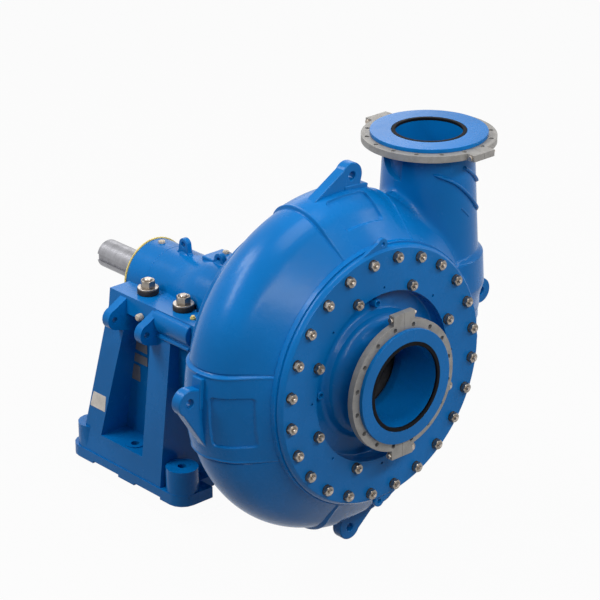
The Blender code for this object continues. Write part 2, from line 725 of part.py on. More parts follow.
def build_flange_ring(name, bore, halves, bolts, axis, turn):
    """Two ring halves and the two bolts that clamp their ears."""
    for label, way in halves:
        matrix = turn @ Matrix.Rotation(0 if way > 0 else pi, 4, "Z")
        body = prism(ring_outline(bore), -RING_THICKNESS, 0, "Z")
        half = make(f"{name}_ring_{label}", placed(body, matrix), GREY, axis)
        holes = []
        for x, y in circle_places(RING_HOLE_CIRCLE, RING_HOLE_COUNT, 180 / RING_HOLE_COUNT):
            if x > 0:
                holes.append(rod(RING_HOLE_RADIUS, -RING_THICKNESS - OVERRUN, OVERRUN, (x, y), "Z", 8))
        for side in (-1, 1):
            centre = (side * EAR_BOLT_CIRCLE, -RING_THICKNESS / 2)
            holes.append(
                rod(EAR_BOLT_RADIUS + RUNNING_GAP, -OVERRUN, EAR_HALF_WIDTH + OVERRUN, centre, "X", 8)
            )
        cut_from(half, placed(together(holes), matrix))
    nut_end = EAR_HALF_WIDTH + GAP + EAR_NUT_HEIGHT
    tip = nut_end + EAR_BOLT_RADIUS
    for label, way in bolts:
        profile = [
            (0, -nut_end), (EAR_NUT_RADIUS, -nut_end), (EAR_NUT_RADIUS, -EAR_HALF_WIDTH - GAP),
            (EAR_BOLT_RADIUS, -EAR_HALF_WIDTH - GAP), (EAR_BOLT_RADIUS, EAR_HALF_WIDTH + GAP),
            (EAR_NUT_RADIUS, EAR_HALF_WIDTH + GAP), (EAR_NUT_RADIUS, nut_end), (EAR_BOLT_RADIUS, nut_end),
            (EAR_BOLT_RADIUS, tip), (0, tip),
        ]
        bolt = turned(profile, HEX_STEPS, "X", (0, way * EAR_BOLT_CIRCLE, -RING_THICKNESS / 2))
        make(f"{name}_ring_bolt_{label}", placed(bolt, turn), STEEL, axis)


def build_seals(casing_axis):
    suction_front = -SUCTION_REACH - GAP - COLLAR_THICKNESS
    inner = SUCTION_BORE_RADIUS + GAP
    outer = SUCTION_BORE_RADIUS + SEAL_WIDTH - GAP
    back = suction_front + SEAL_DEPTH - GAP
    front = suction_front - SEAL_RISE
    make(
        "suction_seal",
        turned([(inner, back), (outer, back), (outer, front), (inner, front)], LARGE_STEPS),
        RUBBER, casing_axis,
    )
    top = DISCHARGE_HEIGHT + GAP + COLLAR_THICKNESS
    inner = DISCHARGE_BORE_RADIUS + GAP
    outer = DISCHARGE_BORE_RADIUS + SEAL_WIDTH - GAP
    base = top - SEAL_DEPTH + GAP
    profile = [(inner, top + SEAL_RISE), (outer, top + SEAL_RISE), (outer, base), (inner, base)]
    make("discharge_seal", turned(profile, MIDDLE_STEPS, "Z", (DISCHARGE_OFFSET, 0, 0)), RUBBER, casing_axis)


# Back of the wet end


def build_rear_end(parent):
    nose_hole = BOX_NOSE_RADIUS + FIT_CLEARANCE
    rim = CASING_OPENING_RADIUS - FIT_CLEARANCE
    make(
        "rear_cover",
        turned(
            [(nose_hole, REAR_COVER_START), (REAR_COVER_RADIUS, REAR_COVER_START),
             (REAR_COVER_RADIUS, REAR_COVER_END), (nose_hole, REAR_COVER_END)],
            LARGE_STEPS,
        ),
        BLUE, parent,
    )
    floor = CASING_HALF_WIDTH - LINER_RELIEF_DEPTH
    make(
        "rear_liner",
        turned(
            [(nose_hole, LINER_FACE), (rim, LINER_FACE), (rim, CASING_HALF_WIDTH),
             (LINER_RELIEF_OUTER_RADIUS, CASING_HALF_WIDTH), (LINER_RELIEF_OUTER_RADIUS, floor),
             (LINER_RELIEF_INNER_RADIUS, floor), (LINER_RELIEF_INNER_RADIUS, CASING_HALF_WIDTH),
             (nose_hole, CASING_HALF_WIDTH)],
            LARGE_STEPS,
        ),
        IRON, parent,
    )


def build_stuffing_box(parent):
    flange_front = REAR_COVER_END + GAP
    flange_back = flange_front + BOX_FLANGE_THICKNESS
    throat_end = PACKING_START - GAP
    stuffing_box = make(
        "stuffing_box",
        turned(
            [(BOX_THROAT_RADIUS, BOX_START), (BOX_NOSE_RADIUS, BOX_START), (BOX_NOSE_RADIUS, flange_front),
             (BOX_FLANGE_RADIUS, flange_front), (BOX_FLANGE_RADIUS, flange_back),
             (BOX_BARREL_RADIUS, flange_back), (BOX_BARREL_RADIUS, BOX_END - BOX_MOUTH_THICKNESS),
             (BOX_MOUTH_RADIUS, BOX_END - BOX_MOUTH_THICKNESS), (BOX_MOUTH_RADIUS, BOX_END),
             (PACKING_OUTER_RADIUS, BOX_END), (PACKING_OUTER_RADIUS, throat_end),
             (BOX_THROAT_RADIUS, throat_end)],
        ),
        BLUE, parent,
    )
    holes = [
        rod(GLAND_STUD_RADIUS + GAP, BOX_END - GLAND_STUD_DEPTH - GAP, BOX_END + OVERRUN,
            (side * GLAND_STUD_CIRCLE, 0), "Y", TINY_STEPS)
        for side in (-1, 1)
    ]
    cut_from(stuffing_box, together(holes))
    inner = SLEEVE_RADIUS + RUNNING_GAP
    outer = PACKING_OUTER_RADIUS - GAP
    start = PACKING_START
    end = start + LANTERN_LENGTH
    groove = LANTERN_LENGTH / 4
    middle = (inner + outer) / 2
    waist = (outer - inner) / 6
    make(
        "lantern_ring",
        turned(
            [(inner, start), (outer, start), (outer, start + groove), (middle + waist, start + groove),
             (middle + waist, end - groove), (outer, end - groove), (outer, end), (inner, end),
             (inner, end - groove), (middle - waist, end - groove), (middle - waist, start + groove),
             (inner, start + groove)],
        ),
        BRASS, parent,
    )
    start = end + GAP
    for number in range(1, PACKING_COUNT + 1):
        end = start + PACKING_LENGTH
        make(
            f"packing_ring_{number}",
            turned([(inner, start), (outer, start), (outer, end), (inner, end)]),
            PACKING, parent,
        )
        start = end + GAP
    return start


def gland_outline(outer, with_ear):
    """Upper half of a split gland ring, with an ear over each stud."""
    side = GLAND_SPLIT / 2
    inner = SLEEVE_RADIUS + 2 * RUNNING_GAP
    steps = MIDDLE_STEPS // 2
    outline = []
    if with_ear:
        corner = sqrt(outer**2 - GLAND_EAR_HALF_WIDTH**2)
        outline += [(GLAND_EAR_REACH, side), (GLAND_EAR_REACH, GLAND_EAR_HALF_WIDTH)]
        outline.append((corner, GLAND_EAR_HALF_WIDTH))
    else:
        outline.append((sqrt(outer**2 - side**2), side))
    lowest = GLAND_EAR_HALF_WIDTH if with_ear else side
    for i in range(1, steps):
        way = pi * i / steps
        if outer * sin(way) > lowest:
            outline.append((outer * cos(way), outer * sin(way)))
    if with_ear:
        outline += [(-corner, GLAND_EAR_HALF_WIDTH), (-GLAND_EAR_REACH, GLAND_EAR_HALF_WIDTH)]
        outline.append((-GLAND_EAR_REACH, side))
    else:
        outline.append((-sqrt(outer**2 - side**2), side))
    outline.append((-sqrt(inner**2 - side**2), side))
    for i in range(1, steps):
        way = pi - pi * i / steps
        outline.append((inner * cos(way), inner * sin(way)))
    outline.append((sqrt(inner**2 - side**2), side))
    return outline


def build_gland(root_axis, gland_axis, nose_start):
    flange_front = BOX_END + GLAND_STAND_OFF
    flange_back = flange_front + GLAND_FLANGE_THICKNESS
    nose_radius = PACKING_OUTER_RADIUS - RUNNING_GAP
    for label, way in (("upper", 1), ("lower", -1)):
        matrix = Matrix.Scale(way, 4, (0, 0, 1))
        half = make(
            f"gland_{label}",
            placed(prism(gland_outline(GLAND_FLANGE_RADIUS, True), flange_front, flange_back, "Y"), matrix),
            STEEL, gland_axis,
        )
        nose = prism(gland_outline(nose_radius, False), nose_start, flange_front + GLAND_STAND_OFF, "Y")
        join_to(half, placed(nose, matrix))
        slots = [
            rod(GLAND_STUD_RADIUS + RING_SPLIT, flange_front - OVERRUN, flange_back + OVERRUN,
                (side * GLAND_STUD_CIRCLE, 0), "Y", TINY_STEPS)
            for side in (-1, 1)
        ]
        cut_from(half, together(slots))
    for label, side in (("left", -1), ("right", 1)):
        start = BOX_END - GLAND_STUD_DEPTH
        centre = (side * GLAND_STUD_CIRCLE, 0)
        make(
            f"gland_stud_{label}",
            rod(GLAND_STUD_RADIUS, start, start + GLAND_STUD_LENGTH, centre, "Y", TINY_STEPS),
            STEEL, root_axis,
        )
        hole = GLAND_STUD_RADIUS + GAP
        nut_start = flange_back + GAP
        nut_end = nut_start + GLAND_NUT_HEIGHT
        nut = make(
            f"gland_nut_{label}",
            rod(GLAND_NUT_RADIUS, nut_start, nut_end, centre, "Y", HEX_STEPS),
            STEEL, gland_axis,
        )
        hole = hole / cos(pi / TINY_STEPS)
        cut_from(nut, rod(hole, nut_start - OVERRUN, nut_end + OVERRUN, centre, "Y", TINY_STEPS))


# Rotor


def vane_outline(first):
    """A vane curved back against the spin: its angle falls evenly as its radius grows."""
    steps = 9
    outer_side = []
    inner_side = []
    last = IMPELLER_RADIUS - SHROUD_THICKNESS / 6
    for i in range(steps):
        share = i / (steps - 1)
        radius = VANE_INNER_RADIUS + (last - VANE_INNER_RADIUS) * share
        way = radians(first - VANE_WRAP * share)
        half_angle = VANE_THICKNESS * (1 - 0.3 * share) / radius
        outer_side.append((radius * cos(way + half_angle), radius * sin(way + half_angle)))
        inner_side.append((radius * cos(way - half_angle), radius * sin(way - half_angle)))
    return outer_side + inner_side[::-1]


def build_impeller(rotor):
    nose = SHAFT_NOSE_DEPTH + HUB_NOSE_REACH
    hub_front = IMPELLER_BACK - nose
    shroud_inside = IMPELLER_BACK - SHROUD_THICKNESS
    impeller = make(
        "impeller",
        turned(
            [(0, IMPELLER_BACK), (IMPELLER_RADIUS, IMPELLER_BACK), (IMPELLER_RADIUS, shroud_inside),
             (HUB_RADIUS + HUB_NOSE_REACH, shroud_inside), (HUB_RADIUS, shroud_inside - HUB_NOSE_REACH),
             (0.95 * HUB_RADIUS, hub_front + HUB_NOSE_REACH), (0.6 * HUB_RADIUS, hub_front),
             (0, hub_front - HUB_NOSE_REACH)],
            MIDDLE_STEPS,
        ),
        IRON, rotor,
    )
    front_inside = IMPELLER_FRONT + SHROUD_THICKNESS
    front_shroud = turned(
        [(IMPELLER_EYE_RADIUS, IMPELLER_FRONT), (IMPELLER_RADIUS, IMPELLER_FRONT),
         (IMPELLER_RADIUS, front_inside), (IMPELLER_EYE_RADIUS + SHROUD_THICKNESS, front_inside),
         (IMPELLER_EYE_RADIUS, front_inside - SHROUD_THICKNESS / 3)],
        MIDDLE_STEPS,
    )
    join_to(impeller, front_shroud)
    low = IMPELLER_FRONT + SHROUD_THICKNESS / 2
    high = IMPELLER_BACK - SHROUD_THICKNESS / 2
    vanes = [prism(vane_outline(360 * i / VANE_COUNT), low, high, "Y") for i in range(VANE_COUNT)]
    join_to(impeller, together(vanes))
    start = IMPELLER_BACK - SHAFT_NOSE_DEPTH - GAP
    bore = rod(SHAFT_NOSE_RADIUS + GAP, start, IMPELLER_BACK + OVERRUN, (0, 0), "Y", MIDDLE_STEPS)
    cut_from(impeller, bore)


def build_shaft(rotor):
    chamfer = SHAFT_END_CHAMFER
    profile = [
        (0, IMPELLER_BACK - SHAFT_NOSE_DEPTH),
        (SHAFT_NOSE_RADIUS, IMPELLER_BACK - SHAFT_NOSE_DEPTH),
        (SHAFT_NOSE_RADIUS, IMPELLER_BACK + GAP),
        (SHAFT_SLEEVE_SEAT_RADIUS, IMPELLER_BACK + GAP),
        (SHAFT_SLEEVE_SEAT_RADIUS, FLINGER_FRONT - GAP),
        (SHAFT_LABYRINTH_SEAT_RADIUS, FLINGER_FRONT - GAP),
        (SHAFT_LABYRINTH_SEAT_RADIUS, PUMP_RACE_START),
        (SHAFT_PUMP_SEAT_RADIUS, PUMP_RACE_START),
        (SHAFT_PUMP_SEAT_RADIUS, PUMP_RACE_END + GAP),
        (SHAFT_BODY_RADIUS, PUMP_RACE_END + GAP),
        (SHAFT_BODY_RADIUS, DRIVE_RACE_START - GAP),
        (SHAFT_DRIVE_SEAT_RADIUS, DRIVE_RACE_START - GAP),
        (SHAFT_DRIVE_SEAT_RADIUS, DRIVE_RACE_END),
        (SHAFT_THREAD_RADIUS, DRIVE_RACE_END),
        (SHAFT_THREAD_RADIUS, HOUSING_END - SHAFT_END_CHAMFER),
        (SHAFT_REAR_SEAT_RADIUS, HOUSING_END - SHAFT_END_CHAMFER),
        (SHAFT_REAR_SEAT_RADIUS, DRIVE_NOSE_BACK + SHIM_THICKNESS),
        (SHAFT_END_RADIUS, DRIVE_NOSE_BACK + 2 * SHIM_THICKNESS),
        (SHAFT_END_RADIUS, SHAFT_END - chamfer),
        (SHAFT_END_RADIUS - chamfer, SHAFT_END),
        (0, SHAFT_END),
    ]
    shaft = make("shaft", turned(profile), SHAFT_STEEL, rotor)
    keyway = box(
        (-SHAFT_END_RADIUS - OVERRUN, SHAFT_END - KEYWAY_LENGTH, -KEYWAY_WIDTH / 2),
        (-SHAFT_END_RADIUS + KEYWAY_DEPTH, SHAFT_END + OVERRUN, KEYWAY_WIDTH / 2),
    )
    cut_from(shaft, keyway)
    seat = SHAFT_SLEEVE_SEAT_RADIUS + GAP
    start = IMPELLER_BACK + 2 * GAP
    end = start + RELEASE_COLLAR_LENGTH
    make(
        "release_collar",
        turned([(seat, start), (RELEASE_COLLAR_RADIUS, start), (RELEASE_COLLAR_RADIUS, end), (seat, end)]),
        STEEL, rotor,
    )
    start = end + GAP
    end = FLINGER_FRONT - 2 * GAP
    make(
        "shaft_sleeve",
        turned([(seat, start), (SLEEVE_RADIUS, start), (SLEEVE_RADIUS, end), (seat, end)]),
        STEEL, rotor,
    )


def ring_between(name, inner, outer, start, end, material, parent):
    make(name, turned([(inner, start), (outer, start), (outer, end), (inner, end)]), material, parent)


def roller_outline(inner, outer, count):
    """A cage full of rollers seen from the end: the rollers bulge out of the ring on both sides."""
    depth = (outer - inner) / 5
    outside = []
    inside = []
    for i in range(count):
        for part, sunk in ((0.0, depth), (0.25, depth), (0.5, 0.0), (0.75, 0.0)):
            way = 2 * pi * (i + part + 0.125) / count
            outside.append(((outer - sunk) * cos(way), (outer - sunk) * sin(way)))
            inside.append(((inner + sunk) * cos(way), (inner + sunk) * sin(way)))
    return outside, inside


def build_bearing(name, seat, outer, start, end, cartridge, rotor, cage_axis):
    """Inner race on the shaft, cage with its rollers, and outer race in the housing."""
    depth = outer - seat
    inner_top = seat + INNER_RACE_SHARE * depth
    roller_top = inner_top + ROLLER_SHARE * depth
    ring_between(f"{name}_inner_race", seat + GAP, inner_top, start, end, STEEL, rotor)
    outside, inside = roller_outline(inner_top + 2 * RUNNING_GAP, roller_top, ROLLER_COUNT)
    inset = (end - start) / 12
    cage = make(
        f"{name}_rollers", prism(outside, start + inset, end - inset, "Y"), BRASS, cage_axis
    )
    cut_from(cage, prism(inside, start - OVERRUN, end + OVERRUN, "Y"))
    ring_between(f"{name}_outer_race", roller_top + 2 * RUNNING_GAP, outer, start, end, STEEL, cartridge)


# Bearing cartridge


def lifting_eye(place, base_radius):
    """A plate eye across X, standing on the housing with a root wider than its head."""
    half = EYE_THICKNESS / 2
    outline = []
    for i in range(9):
        way = pi * i / 8
        outline.append((place + EYE_RADIUS * cos(way), EYE_HOLE_HEIGHT + EYE_RADIUS * sin(way)))
    root = 2.2 * EYE_RADIUS
    low = base_radius - EYE_RADIUS / 2
    outline += [(place - root, low), (place + root, low)]
    eye = prism(outline, -half, half, "X")
    hole = rod(EYE_HOLE_RADIUS, -half - OVERRUN, half + OVERRUN, (place, EYE_HOLE_HEIGHT), "X", TINY_STEPS)
    return eye, hole


def build_housing(cartridge):
    pump_end = HOUSING_START + HOUSING_PUMP_LENGTH
    taper_end = pump_end + HOUSING_TAPER_LENGTH
    flange_end = HOUSING_START + HOUSING_FLANGE_THICKNESS
    pump_seat_end = PUMP_RACE_END + GAP
    drive_seat_start = DRIVE_RACE_START - GAP
    profile = [
        (PUMP_BEARING_RADIUS + GAP, HOUSING_START),
        (HOUSING_FLANGE_RADIUS, HOUSING_START),
        (HOUSING_FLANGE_RADIUS, flange_end),
        (HOUSING_PUMP_RADIUS, flange_end),
        (HOUSING_PUMP_RADIUS, pump_end),
        (HOUSING_RADIUS, taper_end),
        (HOUSING_RADIUS, HOUSING_END),
        (DRIVE_BEARING_RADIUS + GAP, HOUSING_END),
        (DRIVE_BEARING_RADIUS + GAP, drive_seat_start),
        (HOUSING_BORE_RADIUS, drive_seat_start),
        (HOUSING_BORE_RADIUS, pump_seat_end),
        (PUMP_BEARING_RADIUS + GAP, pump_seat_end),
    ]
    housing = make("bearing_housing", turned(profile), BLUE, cartridge)
    feet = []
    for side in (-1, 1):
        inner = (PUMP_BEARING_RADIUS + HOUSING_RADIUS) / 2
        near, far = sorted((side * inner, side * FOOT_REACH))
        feet.append(box((near, FOOT_START, -FOOT_DROP), (far, FOOT_START + FOOT_LENGTH, FOOT_RISE)))
    join_to(housing, together(feet))
    left = -TOP_PAD_WIDTH / 10
    pad = box(
        (left, TOP_PAD_START, PUMP_BEARING_RADIUS + 3 * FIT_CLEARANCE),
        (left + TOP_PAD_WIDTH, TOP_PAD_START + TOP_PAD_LENGTH, TOP_PAD_HEIGHT),
    )
    join_to(housing, pad)
    drive_eye, drive_hole = lifting_eye(DRIVE_EYE_PLACE, HOUSING_RADIUS)
    pump_eye, pump_hole = lifting_eye(PUMP_EYE_PLACE, HOUSING_PUMP_RADIUS)
    join_to(housing, drive_eye)
    join_to(housing, pump_eye)
    lug_end = HOUSING_END - ADJUSTER_LUG_INSET
    half = ADJUSTER_LUG_HALF_WIDTH
    lug = box(
        (-half, lug_end - ADJUSTER_LUG_THICKNESS, -ADJUSTER_LUG_DROP),
        (half, lug_end, -HOUSING_RADIUS + OVERRUN / 2),
    )
    join_to(housing, lug)
    holes = [drive_hole, pump_hole]
    holes.append(
        rod(ADJUSTER_RADIUS + RUNNING_GAP, lug_end - ADJUSTER_LUG_THICKNESS - OVERRUN, lug_end + OVERRUN,
            (0, -ADJUSTER_DROP), "Y", TINY_STEPS)
    )
    seat = CLAMP_WASHER_RADIUS + CLAMP_SEAT_CLEARANCE
    for side in (-1, 1):
        for place in (CLAMP_FRONT_PLACE, CLAMP_REAR_PLACE):
            holes.append(rod(seat, FOOT_RISE, HOUSING_PUMP_RADIUS, (side * CLAMP_SPREAD, place), "Z"))
    cut_from(housing, together(holes))


def build_end_covers(cartridge):
    pump_bore = SHAFT_LABYRINTH_SEAT_RADIUS + LABYRINTH_WALL + RUNNING_GAP
    drive_bore = SHAFT_REAR_SEAT_RADIUS + LABYRINTH_WALL + RUNNING_GAP
    spigot = PUMP_BEARING_RADIUS - GAP
    inner = spigot - COVER_SPIGOT_WALL
    pump_profile = [
        (pump_bore, PUMP_NOSE_FRONT), (END_COVER_NOSE_RADIUS, PUMP_NOSE_FRONT),
        (END_COVER_NOSE_RADIUS, PUMP_COVER_FRONT), (HOUSING_FLANGE_RADIUS, PUMP_COVER_FRONT),
        (HOUSING_FLANGE_RADIUS, PUMP_COVER_BACK), (spigot, PUMP_COVER_BACK), (spigot, PUMP_RACE_START - GAP),
        (inner, PUMP_RACE_START - GAP), (inner, PUMP_COVER_BACK), (pump_bore, PUMP_COVER_BACK),
    ]
    make("pump_end_cover", turned(pump_profile), BLUE, cartridge)
    spigot = DRIVE_BEARING_RADIUS - GAP
    inner = spigot - COVER_SPIGOT_WALL
    drive_profile = [
        (drive_bore, DRIVE_COVER_FRONT), (inner, DRIVE_COVER_FRONT), (inner, DRIVE_RACE_END + GAP),
        (spigot, DRIVE_RACE_END + GAP), (spigot, DRIVE_COVER_FRONT), (DRIVE_COVER_RADIUS, DRIVE_COVER_FRONT),
        (DRIVE_COVER_RADIUS, DRIVE_COVER_BACK), (END_COVER_NOSE_RADIUS, DRIVE_COVER_BACK),
        (END_COVER_NOSE_RADIUS, DRIVE_NOSE_BACK), (drive_bore, DRIVE_NOSE_BACK),
    ]
    make("drive_end_cover", turned(drive_profile), BLUE, cartridge)
    for name, inner, outer, start in (
        ("pump_end_shim", PUMP_BEARING_RADIUS + GAP, HOUSING_FLANGE_RADIUS, PUMP_COVER_BACK + GAP),
        ("drive_end_shim", DRIVE_BEARING_RADIUS + GAP, DRIVE_SHIM_RADIUS, HOUSING_END + GAP),
    ):
        ring_between(name, inner, outer, start, start + SHIM_THICKNESS, YELLOW, cartridge)


def build_rotor_rings(rotor):
    seat = SHAFT_LABYRINTH_SEAT_RADIUS + GAP
    outer = seat - GAP + LABYRINTH_WALL
    middle = FLINGER_FRONT + FLINGER_THICKNESS
    end = PUMP_COVER_BACK
    make(
        "pump_end_labyrinth",
        turned([(seat, FLINGER_FRONT), (FLINGER_RADIUS, FLINGER_FRONT), (FLINGER_RADIUS, middle),
                (outer, middle), (outer, end), (seat, end)]),
        STEEL, rotor,
    )
    seat = SHAFT_REAR_SEAT_RADIUS + GAP
    outer = seat - GAP + LABYRINTH_WALL
    start = HOUSING_END
    middle = DRIVE_NOSE_BACK + SHIM_THICKNESS / 2
    end = middle + SHIM_THICKNESS / 2
    make(
        "drive_end_labyrinth",
        turned([(seat, start), (outer, start), (outer, end), (seat, end)]),
        STEEL, rotor,
    )
    start = DRIVE_RACE_END + GAP
    end = HOUSING_END - GAP - SHAFT_END_CHAMFER
    inner = SHAFT_THREAD_RADIUS + GAP
    end = start + 0.6 * (end - start)
    ring_between("bearing_lock_nut", inner, inner + COVER_SPIGOT_WALL, start, end, STEEL, rotor)


def build_grease_plugs(cartridge):
    for label, x, y, base in (
        ("pump_end", 0.7 * TOP_PAD_WIDTH, TOP_PAD_START + 0.7 * TOP_PAD_LENGTH, TOP_PAD_HEIGHT),
        ("drive_end", 0.0, HOUSING_END - DRIVE_BEARING_DEPTH, HOUSING_RADIUS),
    ):
        start = base + GAP
        top = start + GREASE_PLUG_HEIGHT
        plug = rod(GREASE_PLUG_RADIUS, start, top, (x, y), "Z", HEX_STEPS)
        make(f"grease_plug_{label}", plug, STEEL, cartridge)


def build_adjuster(adjuster):
    """The screw's collar and head sit on both sides of the housing's lug, about the screw's own axis."""
    lug_end = HOUSING_END - ADJUSTER_LUG_INSET
    lug_start = lug_end - ADJUSTER_LUG_THICKNESS
    head_start = lug_end + GAP
    head_end = head_start + ADJUSTER_COLLAR_LENGTH
    collar_end = lug_start - GAP
    collar_start = collar_end - ADJUSTER_COLLAR_LENGTH
    tip = head_end - ADJUSTER_LENGTH
    profile = [
        (0, tip), (ADJUSTER_RADIUS, tip), (ADJUSTER_RADIUS, collar_start),
        (ADJUSTER_COLLAR_RADIUS, collar_start), (ADJUSTER_COLLAR_RADIUS, collar_end),
        (ADJUSTER_RADIUS, collar_end), (ADJUSTER_RADIUS, head_start),
        (ADJUSTER_COLLAR_RADIUS, head_start), (ADJUSTER_COLLAR_RADIUS, head_end), (0, head_end),
    ]
    make("adjusting_screw", turned(profile, TINY_STEPS), STEEL, adjuster)


# Pedestal: modelled about the middle of its base


def side_half_width(height):
    """The sides lean in evenly from the base to the saddle."""
    return BASE_HALF_WIDTH - (BASE_HALF_WIDTH - SADDLE_HALF_WIDTH) * height / SADDLE_TOP


def rounded_base_outline():
    radius = BASE_BOSS_RADIUS + BASE_LIP
    bends = [(cos(radians(22.5 * i)), sin(radians(22.5 * i))) for i in range(1, 4)]
    bends = [(1.0, 0.0)] + bends + [(0.0, 1.0)]
    inner = BASE_HALF_WIDTH - radius
    right = [(inner + radius * u, BASE_REAR - radius + radius * v) for u, v in bends]
    front = [(inner + radius * u, BASE_FRONT + radius - radius * v) for u, v in reversed(bends)]
    right = front + right
    return right + [(-x, y) for x, y in reversed(right)]


def side_lug(side, place):
    """A flat eye across Y on the pedestal's side, with its root in the side wall."""
    height = SHAFT_HEIGHT - SIDE_LUG_DROP
    wall = side_half_width(height)
    steps = 8
    outline = [(side * (wall - OVERRUN), height + SIDE_LUG_ROOT)]
    for i in range(steps + 1):
        way = radians(80 - 160 * i / steps)
        reach = SIDE_LUG_REACH + SIDE_LUG_RADIUS * cos(way)
        outline.append((side * reach, height + SIDE_LUG_RADIUS * sin(way)))
    outline.append((side * (wall - OVERRUN), height - SIDE_LUG_ROOT + OVERRUN))
    end = place + SIDE_LUG_THICKNESS
    lug = prism(outline, place, end, "Y")
    centre = (side * SIDE_LUG_HOLE_REACH, height)
    return lug, rod(SIDE_LUG_HOLE_RADIUS, place - OVERRUN, end + OVERRUN, centre, "Y", TINY_STEPS)


def build_pedestal(base, head_front):
    beam_low = SADDLE_TOP - BEAM_DEPTH
    beam_front = head_front + HEAD_RING_THICKNESS / 2
    root = BASE_PLATE_THICKNESS / 2
    side_outline = [
        (beam_front, SADDLE_TOP), (beam_front, beam_low), (FRONT_LEG_FRONT, beam_low),
        (FRONT_LEG_FRONT, root), (REAR_EDGE_LOW, root), (REAR_EDGE_LOW, SILL_HEIGHT),
        (REAR_EDGE_TOP, SADDLE_TOP - SADDLE_DEPTH), (REAR_EDGE_TOP, SADDLE_TOP),
    ]
    pedestal = make("pedestal", prism(side_outline, -BASE_HALF_WIDTH, BASE_HALF_WIDTH, "X"), BLUE, base)
    slope = (BASE_HALF_WIDTH - SADDLE_HALF_WIDTH) / SADDLE_TOP
    low = -OVERRUN
    high = SADDLE_TOP + OVERRUN
    low_width = BASE_HALF_WIDTH - slope * low
    high_width = BASE_HALF_WIDTH - slope * high
    long = BASE_REAR + OVERHANG
    sides = [(-low_width, low), (low_width, low), (high_width, high), (-high_width, high)]
    shape_with(pedestal, prism(sides, -long, long, "Y"), "INTERSECT")
    join_to(pedestal, prism(rounded_base_outline(), 0, BASE_PLATE_THICKNESS, "Z"))
    boss_x = BASE_HALF_WIDTH - BASE_BOSS_RADIUS - BASE_LIP
    boss_front = BASE_FRONT + BASE_BOSS_RADIUS + BASE_LIP
    boss_rear = BASE_REAR - BASE_BOSS_RADIUS - BASE_REAR_LIP
    corners = [(side * boss_x, y) for side in (-1, 1) for y in (boss_front, boss_rear)]
    bosses = [rod(BASE_BOSS_RADIUS, BASE_PLATE_THICKNESS / 4, BASE_BOSS_HEIGHT, corner) for corner in corners]
    join_to(pedestal, together(bosses))
    window_front = FRONT_LEG_FRONT + FRONT_LEG_WIDTH
    window_top = SADDLE_TOP - SADDLE_DEPTH
    window = [
        (window_front, SILL_HEIGHT), (window_front + WINDOW_LOW_LENGTH, SILL_HEIGHT),
        (window_front + WINDOW_TOP_LENGTH, window_top), (window_front, window_top),
    ]
    outside = BASE_HALF_WIDTH + OVERRUN
    for near, far in ((CORE_HALF_WIDTH, outside), (-outside, -CORE_HALF_WIDTH)):
        cut_from(pedestal, prism(window, near, far, "X"))
    sill_boss = [(side * boss_x, SILL_BOSS_PLACE) for side in (-1, 1)]
    middles = [rod(SILL_BOSS_RADIUS, SILL_HEIGHT / 2, SILL_BOSS_HEIGHT, place) for place in sill_boss]
    join_to(pedestal, together(middles))
    head_back = head_front + HEAD_RING_THICKNESS
    ring = rod(HEAD_RING_RADIUS, head_front, head_back, (0, SHAFT_HEIGHT), "Y", MIDDLE_STEPS)
    join_to(pedestal, ring)
    webs = []
    web_low = SADDLE_TOP - HEAD_WEB_DROP
    for side in (-1, 1):
        inner = DECK_OPENING_HALF_WIDTH - OVERRUN / 2
        near, far = sorted((side * inner, side * (DECK_OPENING_HALF_WIDTH + HEAD_WEB_WIDTH)))
        low_corner = (near, beam_front, web_low)
        webs.append(box(low_corner, (far, FRONT_LEG_FRONT + OVERRUN, SADDLE_TOP - OVERRUN)))
    join_to(pedestal, together(webs))
    lugs = []
    holes = []
    for side in (-1, 1):
        for place in (FRONT_SIDE_LUG_PLACE, REAR_SIDE_LUG_PLACE):
            lug, hole = side_lug(side, place)
            lugs.append(lug)
            holes.append(hole)
    join_to(pedestal, together(lugs))
    cut_from(pedestal, together(holes))
    ring_hole = rod(
        HEAD_RING_HOLE_RADIUS, head_front - OVERRUN, head_back + OVERRUN, (0, SHAFT_HEIGHT), "Y", MIDDLE_STEPS
    )
    cut_from(pedestal, ring_hole)
    cut_trough(pedestal, head_front)
    cut_underside(pedestal)
    bolt_holes = [
        rod(HOLD_DOWN_HOLE_RADIUS, -OVERRUN, BASE_BOSS_HEIGHT + OVERRUN, (x, y), "Z", TINY_STEPS)
        for x, y in corners + sill_boss
    ]
    stud_hole = CLAMP_STUD_RADIUS + CLAMP_HOLE_CLEARANCE
    for x, y in clamp_places():
        start = SADDLE_TOP - CLAMP_STUD_DEPTH - GAP
        bolt_holes.append(rod(stud_hole, start, SADDLE_TOP + OVERRUN, (x, y), "Z", TINY_STEPS))
    cut_from(pedestal, together(bolt_holes))
    head_end = HOUSING_END - ADJUSTER_LUG_INSET + GAP + ADJUSTER_COLLAR_LENGTH - OVERHANG
    screw_end = head_end - ADJUSTER_LENGTH - OVERRUN
    screw_hole = rod(
        ADJUSTER_RADIUS + RUNNING_GAP, screw_end, REAR_EDGE_LOW + OVERRUN,
        (0, SHAFT_HEIGHT - ADJUSTER_DROP), "Y", TINY_STEPS,
    )
    cut_from(pedestal, screw_hole)


